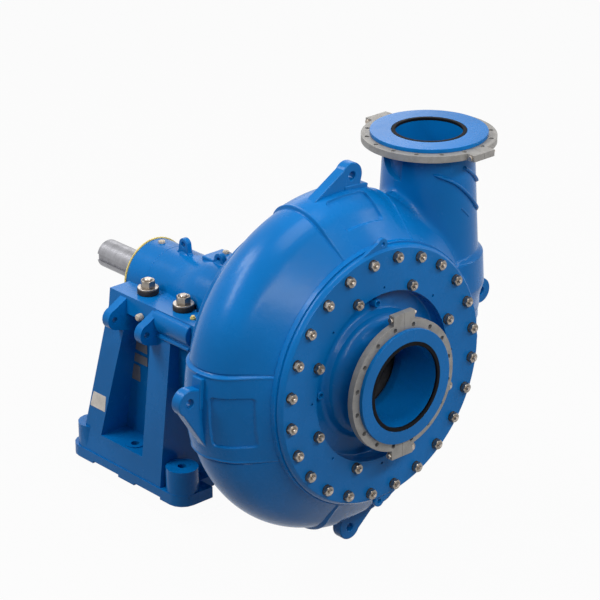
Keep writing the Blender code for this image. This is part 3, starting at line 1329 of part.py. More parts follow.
def cut_trough(pedestal, head_front):
    """The round seat and the two ledges of the saddle, the open deck in front, and the pocket behind."""
    behind = REAR_EDGE_LOW + OVERRUN
    deck_end = HOUSING_START + HOUSING_FLANGE_THICKNESS - OVERHANG + DECK_CLEARANCE
    seat_start = deck_end - OVERRUN
    pump_end = HOUSING_START + HOUSING_PUMP_LENGTH - OVERHANG + TROUGH_CLEARANCE
    wide = HOUSING_PUMP_RADIUS + TROUGH_CLEARANCE
    narrow = HOUSING_RADIUS + TROUGH_CLEARANCE
    seat = turned(
        [(0, seat_start), (wide, seat_start), (wide, pump_end), (narrow, pump_end + HOUSING_TAPER_LENGTH),
         (narrow, behind), (0, behind)],
        MIDDLE_STEPS, "Y", (0, 0, SHAFT_HEIGHT),
    )
    cut_from(pedestal, seat)
    ledge = FOOT_REACH + GAP
    low = (-ledge, seat_start, SHAFT_HEIGHT - FOOT_DROP - GAP)
    cut_from(pedestal, box(low, (ledge, behind, SADDLE_TOP + OVERRUN)))
    opening = DECK_OPENING_HALF_WIDTH
    low = (-opening, head_front + HEAD_RING_THICKNESS, 0)
    cut_from(pedestal, box(low, (opening, deck_end, SADDLE_TOP + OVERRUN)))
    half = REAR_POCKET_HALF_WIDTH
    lug_start = HOUSING_END - ADJUSTER_LUG_INSET - ADJUSTER_LUG_THICKNESS - OVERHANG
    pocket_start = lug_start - GAP - ADJUSTER_COLLAR_LENGTH - DECK_CLEARANCE
    low = (-half, pocket_start, SHAFT_HEIGHT - REAR_POCKET_DROP)
    cut_from(pedestal, box(low, (half, behind, SADDLE_TOP + OVERRUN)))


def cut_underside(pedestal):
    """Two cavities under the core, and the recesses that leave three foot pads on each side."""
    pad = MIDDLE_PAD_LENGTH / 2
    front = FRONT_LEG_FRONT + CAVITY_WALL
    rear = REAR_EDGE_TOP - CAVITY_WALL
    half = CAVITY_HALF_WIDTH
    cavities = [box((-half, front, -OVERRUN), (half, -pad, CAVITY_HEIGHT)),
                box((-half, pad, -OVERRUN), (half, rear, CAVITY_HEIGHT))]
    cut_from(pedestal, together(cavities))
    wide = BASE_HALF_WIDTH + OVERRUN
    narrow = BASE_HALF_WIDTH - CORNER_PAD_WIDTH
    for side, end in ((-1, BASE_FRONT), (1, BASE_FRONT + 2 * abs(BASE_FRONT))):
        inner = end - side * CORNER_PAD_LENGTH
        near, far = sorted((side * pad, inner))
        cut_from(pedestal, box((-wide, near, -OVERRUN), (wide, far, FOOT_PAD_RECESS)))
        near, far = sorted((inner - side * OVERRUN, end + side * (BASE_REAR_LIP + 2 * OVERRUN)))
        cut_from(pedestal, box((-narrow, near, -OVERRUN), (narrow, far, FOOT_PAD_RECESS)))


def clamp_places():
    return [
        (side * CLAMP_SPREAD, place - OVERHANG)
        for place in (CLAMP_FRONT_PLACE, CLAMP_REAR_PLACE)
        for side in (-1, 1)
    ]


def build_clamps(base):
    washer_base = SADDLE_TOP + GAP
    washer_top = washer_base + CLAMP_WASHER_HEIGHT
    nut_base = washer_top + GAP
    nut_top = nut_base + CLAMP_NUT_HEIGHT
    stud_base = SADDLE_TOP - CLAMP_STUD_DEPTH
    stud_top = SADDLE_TOP + CLAMP_STUD_RISE
    hole = CLAMP_STUD_RADIUS + CLAMP_HOLE_CLEARANCE
    bevel = CLAMP_WASHER_HEIGHT / 4
    for number, (x, y) in enumerate(clamp_places(), 1):
        washer = turned(
            [(hole, washer_base), (CLAMP_WASHER_RADIUS, washer_base),
             (CLAMP_WASHER_RADIUS, washer_top - bevel), (CLAMP_WASHER_RADIUS - bevel, washer_top),
             (hole, washer_top)],
            SMALL_STEPS, "Z", (x, y, 0),
        )
        make(f"clamp_washer_{number}", washer, STEEL, base)
        stud = turned(
            [(0, stud_base), (CLAMP_STUD_RADIUS, stud_base), (CLAMP_STUD_RADIUS, nut_base),
             (CLAMP_NUT_RADIUS, nut_base), (CLAMP_NUT_RADIUS, nut_top), (CLAMP_STUD_RADIUS, nut_top),
             (CLAMP_STUD_RADIUS, stud_top), (0, stud_top)],
            HEX_STEPS, "Z", (x, y, 0), 15,
        )
        make(f"clamp_stud_{number}", stud, STEEL, base)


def build_pedestal_fittings(base):
    height = SADDLE_TOP - SADDLE_DEPTH + SIDE_PLUG_RADIUS - SIDE_PLUG_DROP + CLAMP_WASHER_HEIGHT
    wall = side_half_width(height - SIDE_PLUG_RADIUS)
    near = -wall - GAP
    plug = rod(SIDE_PLUG_RADIUS, near - SIDE_PLUG_LENGTH, near, (SIDE_PLUG_PLACE, height), "X", TINY_STEPS)
    make("side_plug", plug, STEEL, base)
    start = SADDLE_TOP + GAP
    place = (-WATER_CAP_SPREAD, WATER_CAP_PLACE - OVERHANG)
    cap = rod(WATER_CAP_RADIUS, start, start + WATER_CAP_HEIGHT, place, "Z", TINY_STEPS)
    make("water_port_cap", cap, YELLOW, base)


BLUE = finish("blue_paint", (0.02, 0.16, 0.42), 0.35, 0.0)
GREY = finish("grey_ring", (0.42, 0.41, 0.39), 0.5, 0.4)
STEEL = finish("bright_steel", (0.55, 0.53, 0.50), 0.35, 1.0)
SHAFT_STEEL = finish("shaft_steel", (0.45, 0.45, 0.47), 0.4, 0.8)
IRON = finish("hard_iron", (0.28, 0.28, 0.29), 0.6, 0.7)
BRASS = finish("brass", (0.62, 0.46, 0.20), 0.4, 1.0)
RUBBER = finish("black_rubber", (0.02, 0.02, 0.02), 0.7, 0.0)
PACKING = finish("packing_braid", (0.20, 0.18, 0.12), 0.9, 0.0)
YELLOW = finish("yellow_shim", (0.75, 0.62, 0.22), 0.6, 0.0)


def main():
    clear_scene()
    line = (0, -OVERHANG, SHAFT_HEIGHT)
    base = axis_empty("pedestal_base", (0, 0, 0))
    casing = axis_empty("casing_middle", line)
    cartridge = axis_empty("cartridge_axis", line)
    rotor = axis_empty("rotor_axis", line)
    pump_cage = axis_empty("pump_cage_axis", line)
    drive_cage = axis_empty("drive_cage_axis", line)
    gland = axis_empty("gland_axis", line)
    adjuster = axis_empty("adjuster_axis", (0, -OVERHANG, SHAFT_HEIGHT - ADJUSTER_DROP))
    suction = axis_empty("suction_ring_axis", (0, -OVERHANG - SUCTION_REACH, SHAFT_HEIGHT))
    top = (DISCHARGE_OFFSET, -OVERHANG, SHAFT_HEIGHT + DISCHARGE_HEIGHT)
    discharge = axis_empty("discharge_ring_axis", top)

    build_casing(casing)
    build_front_cover(casing)
    build_suction_throat(casing)
    upright = Matrix.Rotation(pi / 2, 4, "X")
    build_flange_ring(
        "suction", SUCTION_NECK_RADIUS + RING_BORE_CLEARANCE, (("left", -1), ("right", 1)),
        (("top", 1), ("bottom", -1)), suction, upright,
    )
    build_flange_ring(
        "discharge", NECK_RADIUS + RING_BORE_CLEARANCE, (("left", -1), ("right", 1)),
        (("rear", 1), ("front", -1)), discharge, Matrix.Identity(4),
    )
    build_seals(casing)
    build_rear_end(casing)
    gland_start = build_stuffing_box(casing)
    build_gland(casing, gland, gland_start)
    build_impeller(rotor)
    build_shaft(rotor)
    build_bearing("pump_bearing", SHAFT_PUMP_SEAT_RADIUS, PUMP_BEARING_RADIUS, PUMP_RACE_START, PUMP_RACE_END,
                  cartridge, rotor, pump_cage)
    build_bearing("drive_bearing", SHAFT_DRIVE_SEAT_RADIUS, DRIVE_BEARING_RADIUS, DRIVE_RACE_START,
                  DRIVE_RACE_END, cartridge, rotor, drive_cage)
    build_housing(cartridge)
    build_end_covers(cartridge)
    build_rotor_rings(rotor)
    build_grease_plugs(cartridge)
    build_adjuster(adjuster)
    build_pedestal(base, REAR_COVER_END + GAP - OVERHANG)
    build_clamps(base)
    build_pedestal_fittings(base)
    bpy.context.view_layer.update()


main()
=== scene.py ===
from math import cos, pi, radians, sin

import bmesh
import bpy
import numpy as np
from bpy.props import FloatProperty, FloatVectorProperty, PointerProperty
from mathutils import Matrix, Vector


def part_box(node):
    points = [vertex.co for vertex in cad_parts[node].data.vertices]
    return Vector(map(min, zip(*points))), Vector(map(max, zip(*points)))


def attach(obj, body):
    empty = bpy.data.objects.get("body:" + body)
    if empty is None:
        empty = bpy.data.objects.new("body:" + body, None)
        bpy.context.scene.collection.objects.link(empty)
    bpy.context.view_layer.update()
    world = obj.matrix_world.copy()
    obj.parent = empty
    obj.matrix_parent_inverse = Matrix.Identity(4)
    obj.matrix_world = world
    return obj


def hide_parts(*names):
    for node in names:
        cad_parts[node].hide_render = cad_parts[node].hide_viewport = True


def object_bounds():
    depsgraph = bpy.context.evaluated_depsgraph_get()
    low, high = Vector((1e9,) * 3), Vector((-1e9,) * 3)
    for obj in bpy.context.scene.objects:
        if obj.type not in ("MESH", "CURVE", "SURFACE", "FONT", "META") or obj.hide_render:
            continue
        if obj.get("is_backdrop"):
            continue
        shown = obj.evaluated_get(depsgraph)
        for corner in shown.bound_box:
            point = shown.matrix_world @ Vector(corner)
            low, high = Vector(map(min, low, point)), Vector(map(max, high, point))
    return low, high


bl_info = {
    "name": "Slurry pump looks",
    "version": (1, 0, 0),
    "blender": (4, 5, 0),
    "location": "3D View > Sidebar > Slurry pump",
    "description": "Cast pieces, fasteners, paint and a plain studio around the solids of a slurry pump",
    "category": "Object",
}

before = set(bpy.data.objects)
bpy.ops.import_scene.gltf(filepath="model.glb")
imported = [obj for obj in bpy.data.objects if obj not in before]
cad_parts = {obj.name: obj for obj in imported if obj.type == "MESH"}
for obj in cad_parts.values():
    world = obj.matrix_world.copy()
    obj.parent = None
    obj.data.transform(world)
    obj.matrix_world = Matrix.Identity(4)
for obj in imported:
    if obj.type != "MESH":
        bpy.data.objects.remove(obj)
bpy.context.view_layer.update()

# The shaft line, from the solids
MIDDLE = (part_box("impeller")[0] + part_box("impeller")[1]) / 2
SHAFT_HEIGHT = round(MIDDLE.z, 4)
OVERHANG = 0.9555
ON_SHAFT = np.array([0.0, -OVERHANG, SHAFT_HEIGHT])

# Casing: the outer radius grows evenly from the start angle, and the neck stands beside the shaft
START_RADIUS = 0.760
GROWTH = 0.060
START_ANGLE = 60.0
TUBE = 0.200
WALL = 0.055
HALF_WIDTH = 0.2795
NECK_X = 0.563
NECK_TOP = 0.8873
COLLAR_TOP = 0.9053
NECK_BORE = 0.1485

# Pedestal: half width of the core's wall, and of the legs at the floor with their lean
WALL_FACE = 0.2500
LEG_FACE = 0.4200
LEG_SLOPE = 0.1120

# Clamps of the cartridge: distance from the shaft line to each side, and places along it
CLAMP_SPREAD = 0.233
CLAMP_ROWS = (0.7385, 0.9895)


# Shapes as arrays of points and faces


class Shell:
    """Points and faces of closed surfaces, collected before they become one mesh."""

    def __init__(self, points=(), faces=()):
        self.points = np.asarray(points, float).reshape(-1, 3)
        self.faces = list(faces)

    def __add__(self, other):
        count = len(self.points)
        moved = [[corner + count for corner in face] for face in other.faces]
        return Shell(np.vstack([self.points, other.points]), self.faces + moved)

    def moved(self, way):
        return Shell(self.points + np.asarray(way, float), self.faces)

    def turned_by(self, matrix):
        matrix = np.asarray(matrix, float)
        faces = self.faces if np.linalg.det(matrix) > 0 else [face[::-1] for face in self.faces]
        return Shell(self.points @ matrix.T, faces)


def grid(points, close_u=True, close_v=True):
    """Quads between neighbouring points of a grid: the four corners are found by index, for the whole grid."""
    count_u, count_v = points.shape[:2]
    rows = np.arange(count_u if close_u else count_u - 1)
    columns = np.arange(count_v if close_v else count_v - 1)
    u, v = np.meshgrid(rows, columns, indexing="ij")
    next_u, next_v = (u + 1) % count_u, (v + 1) % count_v
    corners = [(u, v), (next_u, v), (next_u, next_v), (u, next_v)]
    quads = np.stack([row * count_v + column for row, column in corners], -1)
    return Shell(points.reshape(-1, 3), quads.reshape(-1, 4).tolist())


def rounded(corners, reach, steps=4):
    """A closed outline with soft corners. Each corner becomes a curve that weighs the point before it, the
    corner and the point after it by (1-t)^2, 2t(1-t) and t^2. The two points lie a reach away on the sides."""
    corners = np.asarray(corners, float)
    reach = np.broadcast_to(np.asarray(reach, float), len(corners))
    before = np.roll(corners, 1, 0) - corners
    after = np.roll(corners, -1, 0) - corners
    long_before = np.maximum(np.linalg.norm(before, axis=1), 1e-9)
    long_after = np.maximum(np.linalg.norm(after, axis=1), 1e-9)
    kept = np.minimum(reach, 0.49 * np.minimum(long_before, long_after))
    first = corners + before * (kept / long_before)[:, None]
    last = corners + after * (kept / long_after)[:, None]
    t = np.linspace(0, 1, steps + 1)[None, :, None]
    curve = (1 - t) ** 2 * first[:, None] + 2 * t * (1 - t) * corners[:, None] + t**2 * last[:, None]
    return curve.reshape(-1, 2)


def arc(radius, first, last, steps, centre=(0.0, 0.0)):
    """Points on a circle between two angles in degrees."""
    way = np.radians(np.linspace(first, last, steps))
    return np.stack([centre[0] + radius * np.cos(way), centre[1] + radius * np.sin(way)], -1)


def turned(profile, steps=96, axis="Y", centre=(0, 0, 0)):
    """A profile of (radius, place) carried round an axis: x = r cos a, z = r sin a for the Y axis."""
    profile = np.asarray(profile, float)
    way = np.linspace(0, 2 * pi, steps, endpoint=False)[:, None]
    across, up = profile[:, 0] * np.cos(way), profile[:, 0] * np.sin(way)
    along = np.broadcast_to(profile[:, 1], across.shape)
    order = {"X": (along, across, up), "Y": (across, along, up), "Z": (across, up, along)}[axis]
    return grid(np.stack(order, -1)).moved(centre)


def soft_turned(corners, reach, soft_steps, steps, axis="Y", centre=(0, 0, 0)):
    """A profile whose corners are made soft first, carried round an axis."""
    return turned(rounded(corners, reach, soft_steps), steps, axis, centre)


def band(inner, outer, low, high):
    """The four corners of a flat ring's profile."""
    return [(inner, low), (outer, low), (outer, high), (inner, high)]


def prism(outline, low, high, axis="Y"):
    """An outline pushed from low to high along an axis, closed by a flat face at each end."""
    outline = np.asarray(outline, float)
    count = len(outline)
    ends = []
    for place in (low, high):
        along = np.full(count, float(place))
        u, v = outline[:, 0], outline[:, 1]
        ends.append(np.stack({"X": (along, u, v), "Y": (u, along, v), "Z": (u, v, along)}[axis], -1))
    walls = grid(np.stack(ends), close_u=False)
    walls.faces += [list(range(count)), list(range(2 * count - 1, count - 1, -1))]
    return walls


def block(low, high):
    (x0, y0, z0), (x1, y1, z1) = low, high
    return prism([(x0, y0), (x1, y0), (x1, y1), (x0, y1)], z0, z1, "Z")


def rod(radius, low, high, centre=(0, 0), axis="Z", steps=48):
    return prism(arc(radius, 0, 360, steps + 1, centre)[:-1], low, high, axis)


def hexagon(across, height, bore=0.0):
    """A nut or bolt head that stands on z = 0. At each angle the radius is the flat's distance over the cosine
    of the angle to the flat's middle, and the chamfer caps it near the top. A nut is sunk round its bore."""
    way = np.linspace(0, 2 * pi, 48, endpoint=False)
    flat = across * cos(pi / 6)
    corner = flat / np.cos(way % (pi / 3) - pi / 6)
    low_cap = np.minimum(corner, 0.955 * across)
    top_cap = np.minimum(corner, 0.86 * across)
    levels = [(corner * 0, 0.0), (corner, 0.0), (corner, 0.84 * height)]
    levels += [(low_cap, 0.90 * height), (top_cap, height)]
    if bore:
        levels += [(corner * 0 + 1.28 * bore, height), (corner * 0 + bore, height - 0.25 * bore)]
    levels.append((corner * 0, levels[-1][1]))
    radius = np.stack([level[0] for level in levels], 1)
    rise = np.broadcast_to(np.array([level[1] for level in levels]), radius.shape)
    way = way[:, None]
    return grid(np.stack([radius * np.cos(way), radius * np.sin(way), rise], -1), close_v=False)


def stud_end(radius, rise):
    """The end of a stud: a low drum with a chamfer, as a turned profile."""
    profile = [(0.0, -0.002), (radius, -0.002), (radius, 0.66 * rise), (0.82 * radius, rise), (0.0, rise)]
    return turned(profile, 24, "Z")


def repeated(shell, places):
    """Copies of a shell at several places: all points are shifted in one step."""
    places = np.asarray(places, float).reshape(-1, 3)
    count = len(shell.points)
    points = (shell.points[None] + places[:, None]).reshape(-1, 3)
    faces = [[corner + count * i for corner in face] for i in range(len(places)) for face in shell.faces]
    return Shell(points, faces)


def on_circle(radius, count, first, along=0.0):
    """Places on a circle about the shaft line, the first at an angle in degrees."""
    way = np.radians(first) + 2 * pi * np.arange(count) / count
    return np.stack([radius * np.cos(way), np.full(count, along), radius * np.sin(way)], -1)


FACING_FRONT = ((1, 0, 0), (0, 0, -1), (0, 1, 0))  # Turns +Z to -Y


def as_mesh(name, shell):
    mesh = bpy.data.meshes.new(name)
    mesh.from_pydata(shell.points.tolist(), [], shell.faces)
    mesh.update()
    return mesh


def as_shell(shape):
    shape.verts.ensure_lookup_table()
    return Shell([v.co[:] for v in shape.verts], [[v.index for v in f.verts] for f in shape.faces])


def tidy(shape, merge=2e-5):
    bmesh.ops.remove_doubles(shape, verts=shape.verts, dist=merge)
    bmesh.ops.dissolve_degenerate(shape, edges=shape.edges, dist=merge / 2)
    bmesh.ops.recalc_face_normals(shape, faces=shape.faces)
    return shape


def clean_mesh(name, shell):
    """A mesh without doubled points and with its faces outward."""
    mesh = as_mesh(name, shell)
    shape = bmesh.new()
    shape.from_mesh(mesh)
    tidy(shape).to_mesh(mesh)
    shape.free()
    return mesh


def linked(name, data):
    """A new object of the scene, at the origin."""
    made = bpy.data.objects.new(name, data)
    bpy.context.scene.collection.objects.link(made)
    return made


def carved(base, joined=(), cut=()):
    """The base with other shells joined to it and cut from it, by exact Booleans."""
    helpers = [linked("helper", clean_mesh("helper", shell)) for shell in (base, *joined, *cut)]
    for i, helper in enumerate(helpers[1:]):
        modifier = helpers[0].modifiers.new("carve", "BOOLEAN")
        modifier.operation = "UNION" if i < len(joined) else "DIFFERENCE"
        modifier.solver = "EXACT"
        modifier.object = helper
    bpy.context.view_layer.update()
    graph = bpy.context.evaluated_depsgraph_get()
    result = helpers[0].evaluated_get(graph).to_mesh()
    shape = bmesh.new()
    shape.from_mesh(result)
    shell = as_shell(shape)
    shape.free()
    helpers[0].evaluated_get(graph).to_mesh_clear()
    for helper in helpers:
        mesh = helper.data
        bpy.data.objects.remove(helper)
        bpy.data.meshes.remove(mesh)
    return shell


def softened(shell, width, angle=30.0, segments=3, flat=0.5):
    """Every edge sharper than the angle becomes a round one of this width."""
    mesh = as_mesh("softened", shell)
    shape = bmesh.new()
    shape.from_mesh(mesh)
    bpy.data.meshes.remove(mesh)
    tidy(shape)
    bmesh.ops.dissolve_limit(shape, angle_limit=radians(flat), verts=shape.verts, edges=shape.edges)
    edges = [e for e in shape.edges if len(e.link_faces) == 2 and e.calc_face_angle(0.0) > radians(angle)]
    bmesh.ops.bevel(
        shape, geom=edges, offset=width, segments=segments, profile=0.5, affect="EDGES", clamp_overlap=True
    )
    shell = as_shell(tidy(shape))
    shape.free()
    return shell


# The slot that each finish belongs to
SLOTS = {
    "paint": "blue_paint", "ring": "grey_ring", "rubber": "black_rubber", "shim": "yellow_shim",
    "shaft": "shaft_steel",
    **dict.fromkeys(("fastener", "nut", "washer", "plug", "plate", "label"), "bright_steel"),
}
# Edges sharper than this stay sharp in the shading
CASTING_ANGLE = 38.0
FASTENER_ANGLE = 30.0
ORIGIN = (0.0, 0.0, 0.0)


def piece(name, shell, finish, body, stands_for=(), angle=CASTING_ANGLE, place=ON_SHAFT):
    """One finished piece of the pump, moved to its place within its mesh."""
    mesh = clean_mesh(name, shell.moved(place))
    if mesh.validate():
        mesh.update()
    mesh.materials.append(finishes()[finish])
    mesh.shade_smooth()
    mesh.set_sharp_from_angle(angle=radians(angle))
    made = linked(name, mesh)
    weighted = made.modifiers.new("even_normals", "WEIGHTED_NORMAL")
    weighted.keep_sharp = True
    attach(made, body)
    if stands_for:
        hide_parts(*stands_for)
    return made


# Shader maths


class Value:
    """A number that changes over a surface. Python's operators add the Math nodes."""

    def __init__(self, paint, socket):
        self.paint = paint
        self.socket = socket

    def maths(self, operation, *values):
        node = self.paint.node("ShaderNodeMath", {"operation": operation}, dict(enumerate(values)))
        return Value(self.paint, node.outputs[0])

    def __add__(self, other):
        return self.maths("ADD", self, other)

    def __mul__(self, other):
        return self.maths("MULTIPLY", self, other)

    def between(self, low, high, first=0.0, last=1.0):
        """first below low, last above high, and a smooth change from one to the other."""
        node = self.paint.node(
            "ShaderNodeMapRange", {"interpolation_type": "SMOOTHSTEP"},
            {"Value": self, "From Min": low, "From Max": high, "To Min": first, "To Max": last},
        )
        return Value(self.paint, node.outputs[0])


class Paint:
    """A material whose patterns read the piece's own coordinates."""

    def __init__(self, name, **settings):
        self.material = bpy.data.materials.new(name)
        self.material.use_nodes = True
        self.tree = self.material.node_tree
        self.shader = self.tree.nodes["Principled BSDF"]
        self.place = self.node("ShaderNodeTexCoord").outputs["Object"]
        for socket, value in settings.items():
            self.shader.inputs[socket.replace("_", " ").title().replace("Ior", "IOR")].default_value = value

    def node(self, kind, settings=None, inputs=None):
        """A node: its settings are set first, then each input gets a value or a link."""
        node = self.tree.nodes.new(kind)
        for name, value in (settings or {}).items():
            setattr(node, name, value)
        for name, value in (inputs or {}).items():
            self.feed(node.inputs[name], value)
        return node

    def feed(self, socket, value):
        if isinstance(value, Value):
            value = value.socket
        if isinstance(value, bpy.types.NodeSocket):
            self.tree.links.new(value, socket)
        else:
            socket.default_value = value

    def scaled(self, scale):
        """The piece's coordinates, stretched along each axis."""
        return self.node("ShaderNodeMapping", {}, {"Vector": self.place, "Scale": scale}).outputs[0]

    def noise(self, scale, detail=2.0, rough=0.5, stretch=None):
        vector = self.scaled(stretch) if stretch else self.place
        node = self.node(
            "ShaderNodeTexNoise", {}, {"Vector": vector, "Scale": scale, "Detail": detail, "Roughness": rough}
        )
        return Value(self, node.outputs["Fac"])

    def cells(self, scale):
        node = self.node("ShaderNodeTexVoronoi", {}, {"Vector": self.place, "Scale": scale})
        return Value(self, node.outputs["Distance"])

    def mixed(self, share, first, last):
        """Two colours, mixed by a share."""
        node = self.node("ShaderNodeMix", {"data_type": "RGBA"}, {"Factor": share})
        for socket, value in ((node.inputs[6], first), (node.inputs[7], last)):
            self.feed(socket, (*value, 1.0) if isinstance(value, tuple) and len(value) == 3 else value)
        return node.outputs[2]

    def bump(self, height, distance, strength=1.0, over=None):
        inputs = {"Height": height, "Distance": distance, "Strength": strength}
        if over is not None:
            inputs["Normal"] = over
        return self.node("ShaderNodeBump", {}, inputs).outputs[0]

    def finish(self, **sockets):
        for name, value in sockets.items():
            self.feed(self.shader.inputs[name.replace("_", " ").title()], value)
        return self.material


def shade(colour, amount):
    return tuple(min(1.0, channel * amount) for channel in colour)


def cast_paint(colour, gloss):
    """Thick glossy paint over a casting: slow changes of tone, an orange peel skin and faint cast lumps."""
    paint = Paint("blue_cast_paint", coat_roughness=0.14, specular_ior_level=0.11)
    slow = paint.noise(2.2, 3.0)
    lumps = paint.noise(16.0, 4.0, 0.6)
    peel = paint.noise(190.0, 2.0)
    tone = paint.mixed(slow.between(0.3, 0.7), shade(colour, 0.90), shade(colour, 1.08))
    speck = paint.noise(420.0, 1.0).between(0.66, 0.74)
    tone = paint.mixed(speck * 0.25, tone, shade(colour, 0.55))
    skin = paint.bump(lumps, 0.0030, 0.35)
    skin = paint.bump(peel, 0.0005, 0.35, skin)
    rough = (slow * 0.10 + lumps * 0.08) + (gloss - 0.09)
    coat = slow.between(0.2, 0.8, 0.03, 0.07)
    return paint.finish(base_color=tone, roughness=rough, coat_weight=coat, normal=skin)


def steel(name, colour, rough, metal=1.0, wear=0.35, grain=None):
    """Bare metal: blotches of darker oxide, fine grain and a little bump."""
    paint = Paint(name, metallic=metal)
    blotch = paint.noise(24.0, 4.0, 0.65)
    fine = paint.noise(260.0, 2.0, 0.6, grain)
    tone = paint.mixed(blotch.between(0.35, 0.7), colour, shade(colour, 1.0 - wear))
    tone = paint.mixed(fine.between(0.4, 0.75) * 0.35, tone, shade(colour, 1.25))
    height = fine * 0.6 + blotch * 0.4
    rough = (blotch * 0.25 + fine * 0.12) + (rough - 0.18)
    return paint.finish(base_color=tone, roughness=rough, normal=paint.bump(height, 0.0006, 0.5))


def dull(name, colour, rough, grain=180.0, depth=0.0006, contrast=0.25, coat=0.0, shine=0.5):
    """Rubber, plastic or plain paint: two tones and a grain."""
    paint = Paint(name, specular_ior_level=shine)
    slow = paint.noise(9.0, 3.0)
    fine = paint.noise(grain, 3.0, 0.6)
    dark, light = shade(colour, 1.0 - contrast), shade(colour, 1.0 + contrast / 2)
    tone = paint.mixed(slow.between(0.3, 0.7), dark, light)
    rough = (fine * 0.2) + (rough - 0.1)
    skin = paint.bump(fine, depth, 0.6)
    return paint.finish(base_color=tone, roughness=rough, coat_weight=slow * coat, normal=skin)


def braid(name, colour):
    """Packing: a plaited skin of small raised squares."""
    paint = Paint(name)
    squares = paint.cells(150.0)
    tone = paint.mixed(squares.between(0.1, 0.6), shade(colour, 1.5), shade(colour, 0.5))
    return paint.finish(base_color=tone, roughness=squares * 0.2 + 0.7, normal=paint.bump(squares, 0.002, 0.8))


# Shapes of the casing


def volute_radius(angle):
    """The outer radius grows evenly with the angle, then blends back over the last 20 degrees inside the neck."""
    turned_by = (np.asarray(angle, float) - START_ANGLE) % 360
    share = np.clip((turned_by - 340) / 20, 0, 1)
    fall = share * share * (3 - 2 * share)
    return START_RADIUS + GROWTH * np.minimum(turned_by, 340) / 360 * (1 - fall)


# Bands of thicker casing: first and last angle at the crown
BANDS = ((-12.0, 22.1), (70.0, 106.8), (168.5, 198.0), (256.0, 284.0))
# Where a line across the tube starts at the crown, and how far it has turned when it reaches the flange
LEAN_ANGLES = (
    -12.0, 22.1, 60.0, 78.0, 82.3, 98.7, 106.8, 140.0, 168.5, 175.3, 192.1, 198.0, 256.0, 284.0, 348.0,
)
LEAN_TURNS = (-5.5, 9.0, 0.0, -5.5, -4.5, 1.0, 1.4, -1.0, -5.3, -2.0, 4.5, 8.0, -6.5, 6.5, -5.5)
# Shallow pockets in the bands: first and last angle at the crown, then first and last from crown to flange
POCKETS = (
    (82.3, 98.7, 18.0, 61.0), (175.3, 192.1, 20.0, 73.0), (263.0, 277.0, 20.0, 66.0), (-6.0, 10.0, 20.0, 66.0),
)
POCKET_CORNER = 0.018
# Lifting lugs: angle, and how far the eye stands above the casing
LUGS = ((3.8, 0.064), (85.3, 0.053), (176.9, 0.061), (274.8, 0.064))
# Outer corner of each side's flange, as radius and distance from the middle plane
FLANGE_CORNERS = {1: (0.598, 0.2520), -1: (0.560, 0.2445)}
LIP = 0.0032
# The crown is lower just before the neck
DIP = 0.023
# Neck: radius at its foot, its taper, and the shoulder of the thick band below it
FOOT_HEIGHT = 0.38
FOOT_RADIUS = 0.2262
TAPER = 0.052
SHOULDER_HEIGHT = 0.352
SHOULDER = 0.022


def edge(value, place, width):
    """0 before the place, 1 after it, and a smooth rise of this width."""
    share = np.clip((value - place) / width + 0.5, 0, 1)
    return share * share * (3 - 2 * share)


def around(angle, middle):
    """How far an angle lies from another, between -180 and 180 degrees."""
    return (np.asarray(angle, float) - middle + 180) % 360 - 180


def crown_radius(angle):
    near = around(angle, 75.5)
    return volute_radius(angle) - DIP * (1 - edge(near, 0.0, 8.0)) * edge(near, -35.0, 20.0)


def band_share(angle):
    """1 inside a band, with a round lip along each end and a narrow groove beside it."""
    whole = np.zeros_like(np.asarray(angle, float))
    for first, last in BANDS:
        middle, half = (first + last) / 2, (last - first) / 2
        beyond = np.abs(around(angle, middle)) - half
        raised = 0.40 * np.exp(-(((beyond + 0.50) / 0.32) ** 2))
        groove = 0.50 * np.exp(-(((beyond - 0.50) / 0.26) ** 2))
        whole = whole + 1 - edge(beyond, 0.0, 0.40) + (raised - groove)
    return whole


def pocket_share(angle, down):
    """1 inside a pocket: the distance to a rectangle with round corners, rolled out flat, and a smooth wall."""
    whole = np.zeros(np.broadcast(angle, down).shape)
    for first, last, *reach in POCKETS:
        low, high = np.radians(reach) * TUBE
        half = radians((last - first) / 2) * 0.72
        across = np.abs(np.radians(around(angle, (first + last) / 2))) * 0.72 - half + POCKET_CORNER
        along = np.abs(np.radians(down) * TUBE - (low + high) / 2) - (high - low) / 2 + POCKET_CORNER
        corner = np.hypot(np.maximum(across, 0), np.maximum(along, 0))
        distance = corner + np.minimum(np.maximum(across, along), 0) - POCKET_CORNER
        whole = np.maximum(whole, 1 - edge(distance, 0.0, 0.006))
    return whole


def flank(centre, side):
    """Angles from the crown where the straight flank leaves the tube, and where it ends in the flange's lip."""
    across, place = FLANGE_CORNERS[side][0] - LIP - centre, FLANGE_CORNERS[side][1] - 0.3 * LIP
    last = np.degrees(np.arctan2(place, across))
    return last - np.degrees(np.arccos(TUBE / np.hypot(across, place))), last


def wall_reach(centre, down, side):
    """Distance from the tube's middle to its wall: the tube's radius, and past the place where the straight flank
    touches the tube, that radius over the cosine of the angle beyond it."""
    return TUBE / np.cos(np.radians(np.clip(down - flank(centre, side)[0], 0, 50)))


def leaning(angle, outer, radius):
    """How far a line across the tube has turned at a radius."""
    ends = np.append(LEAN_ANGLES, 360 + LEAN_ANGLES[1]), np.append(LEAN_TURNS, LEAN_TURNS[1])
    return np.interp((angle + 12) % 360 - 12, *ends) * np.clip((outer - radius) / 0.25, 0, 1)


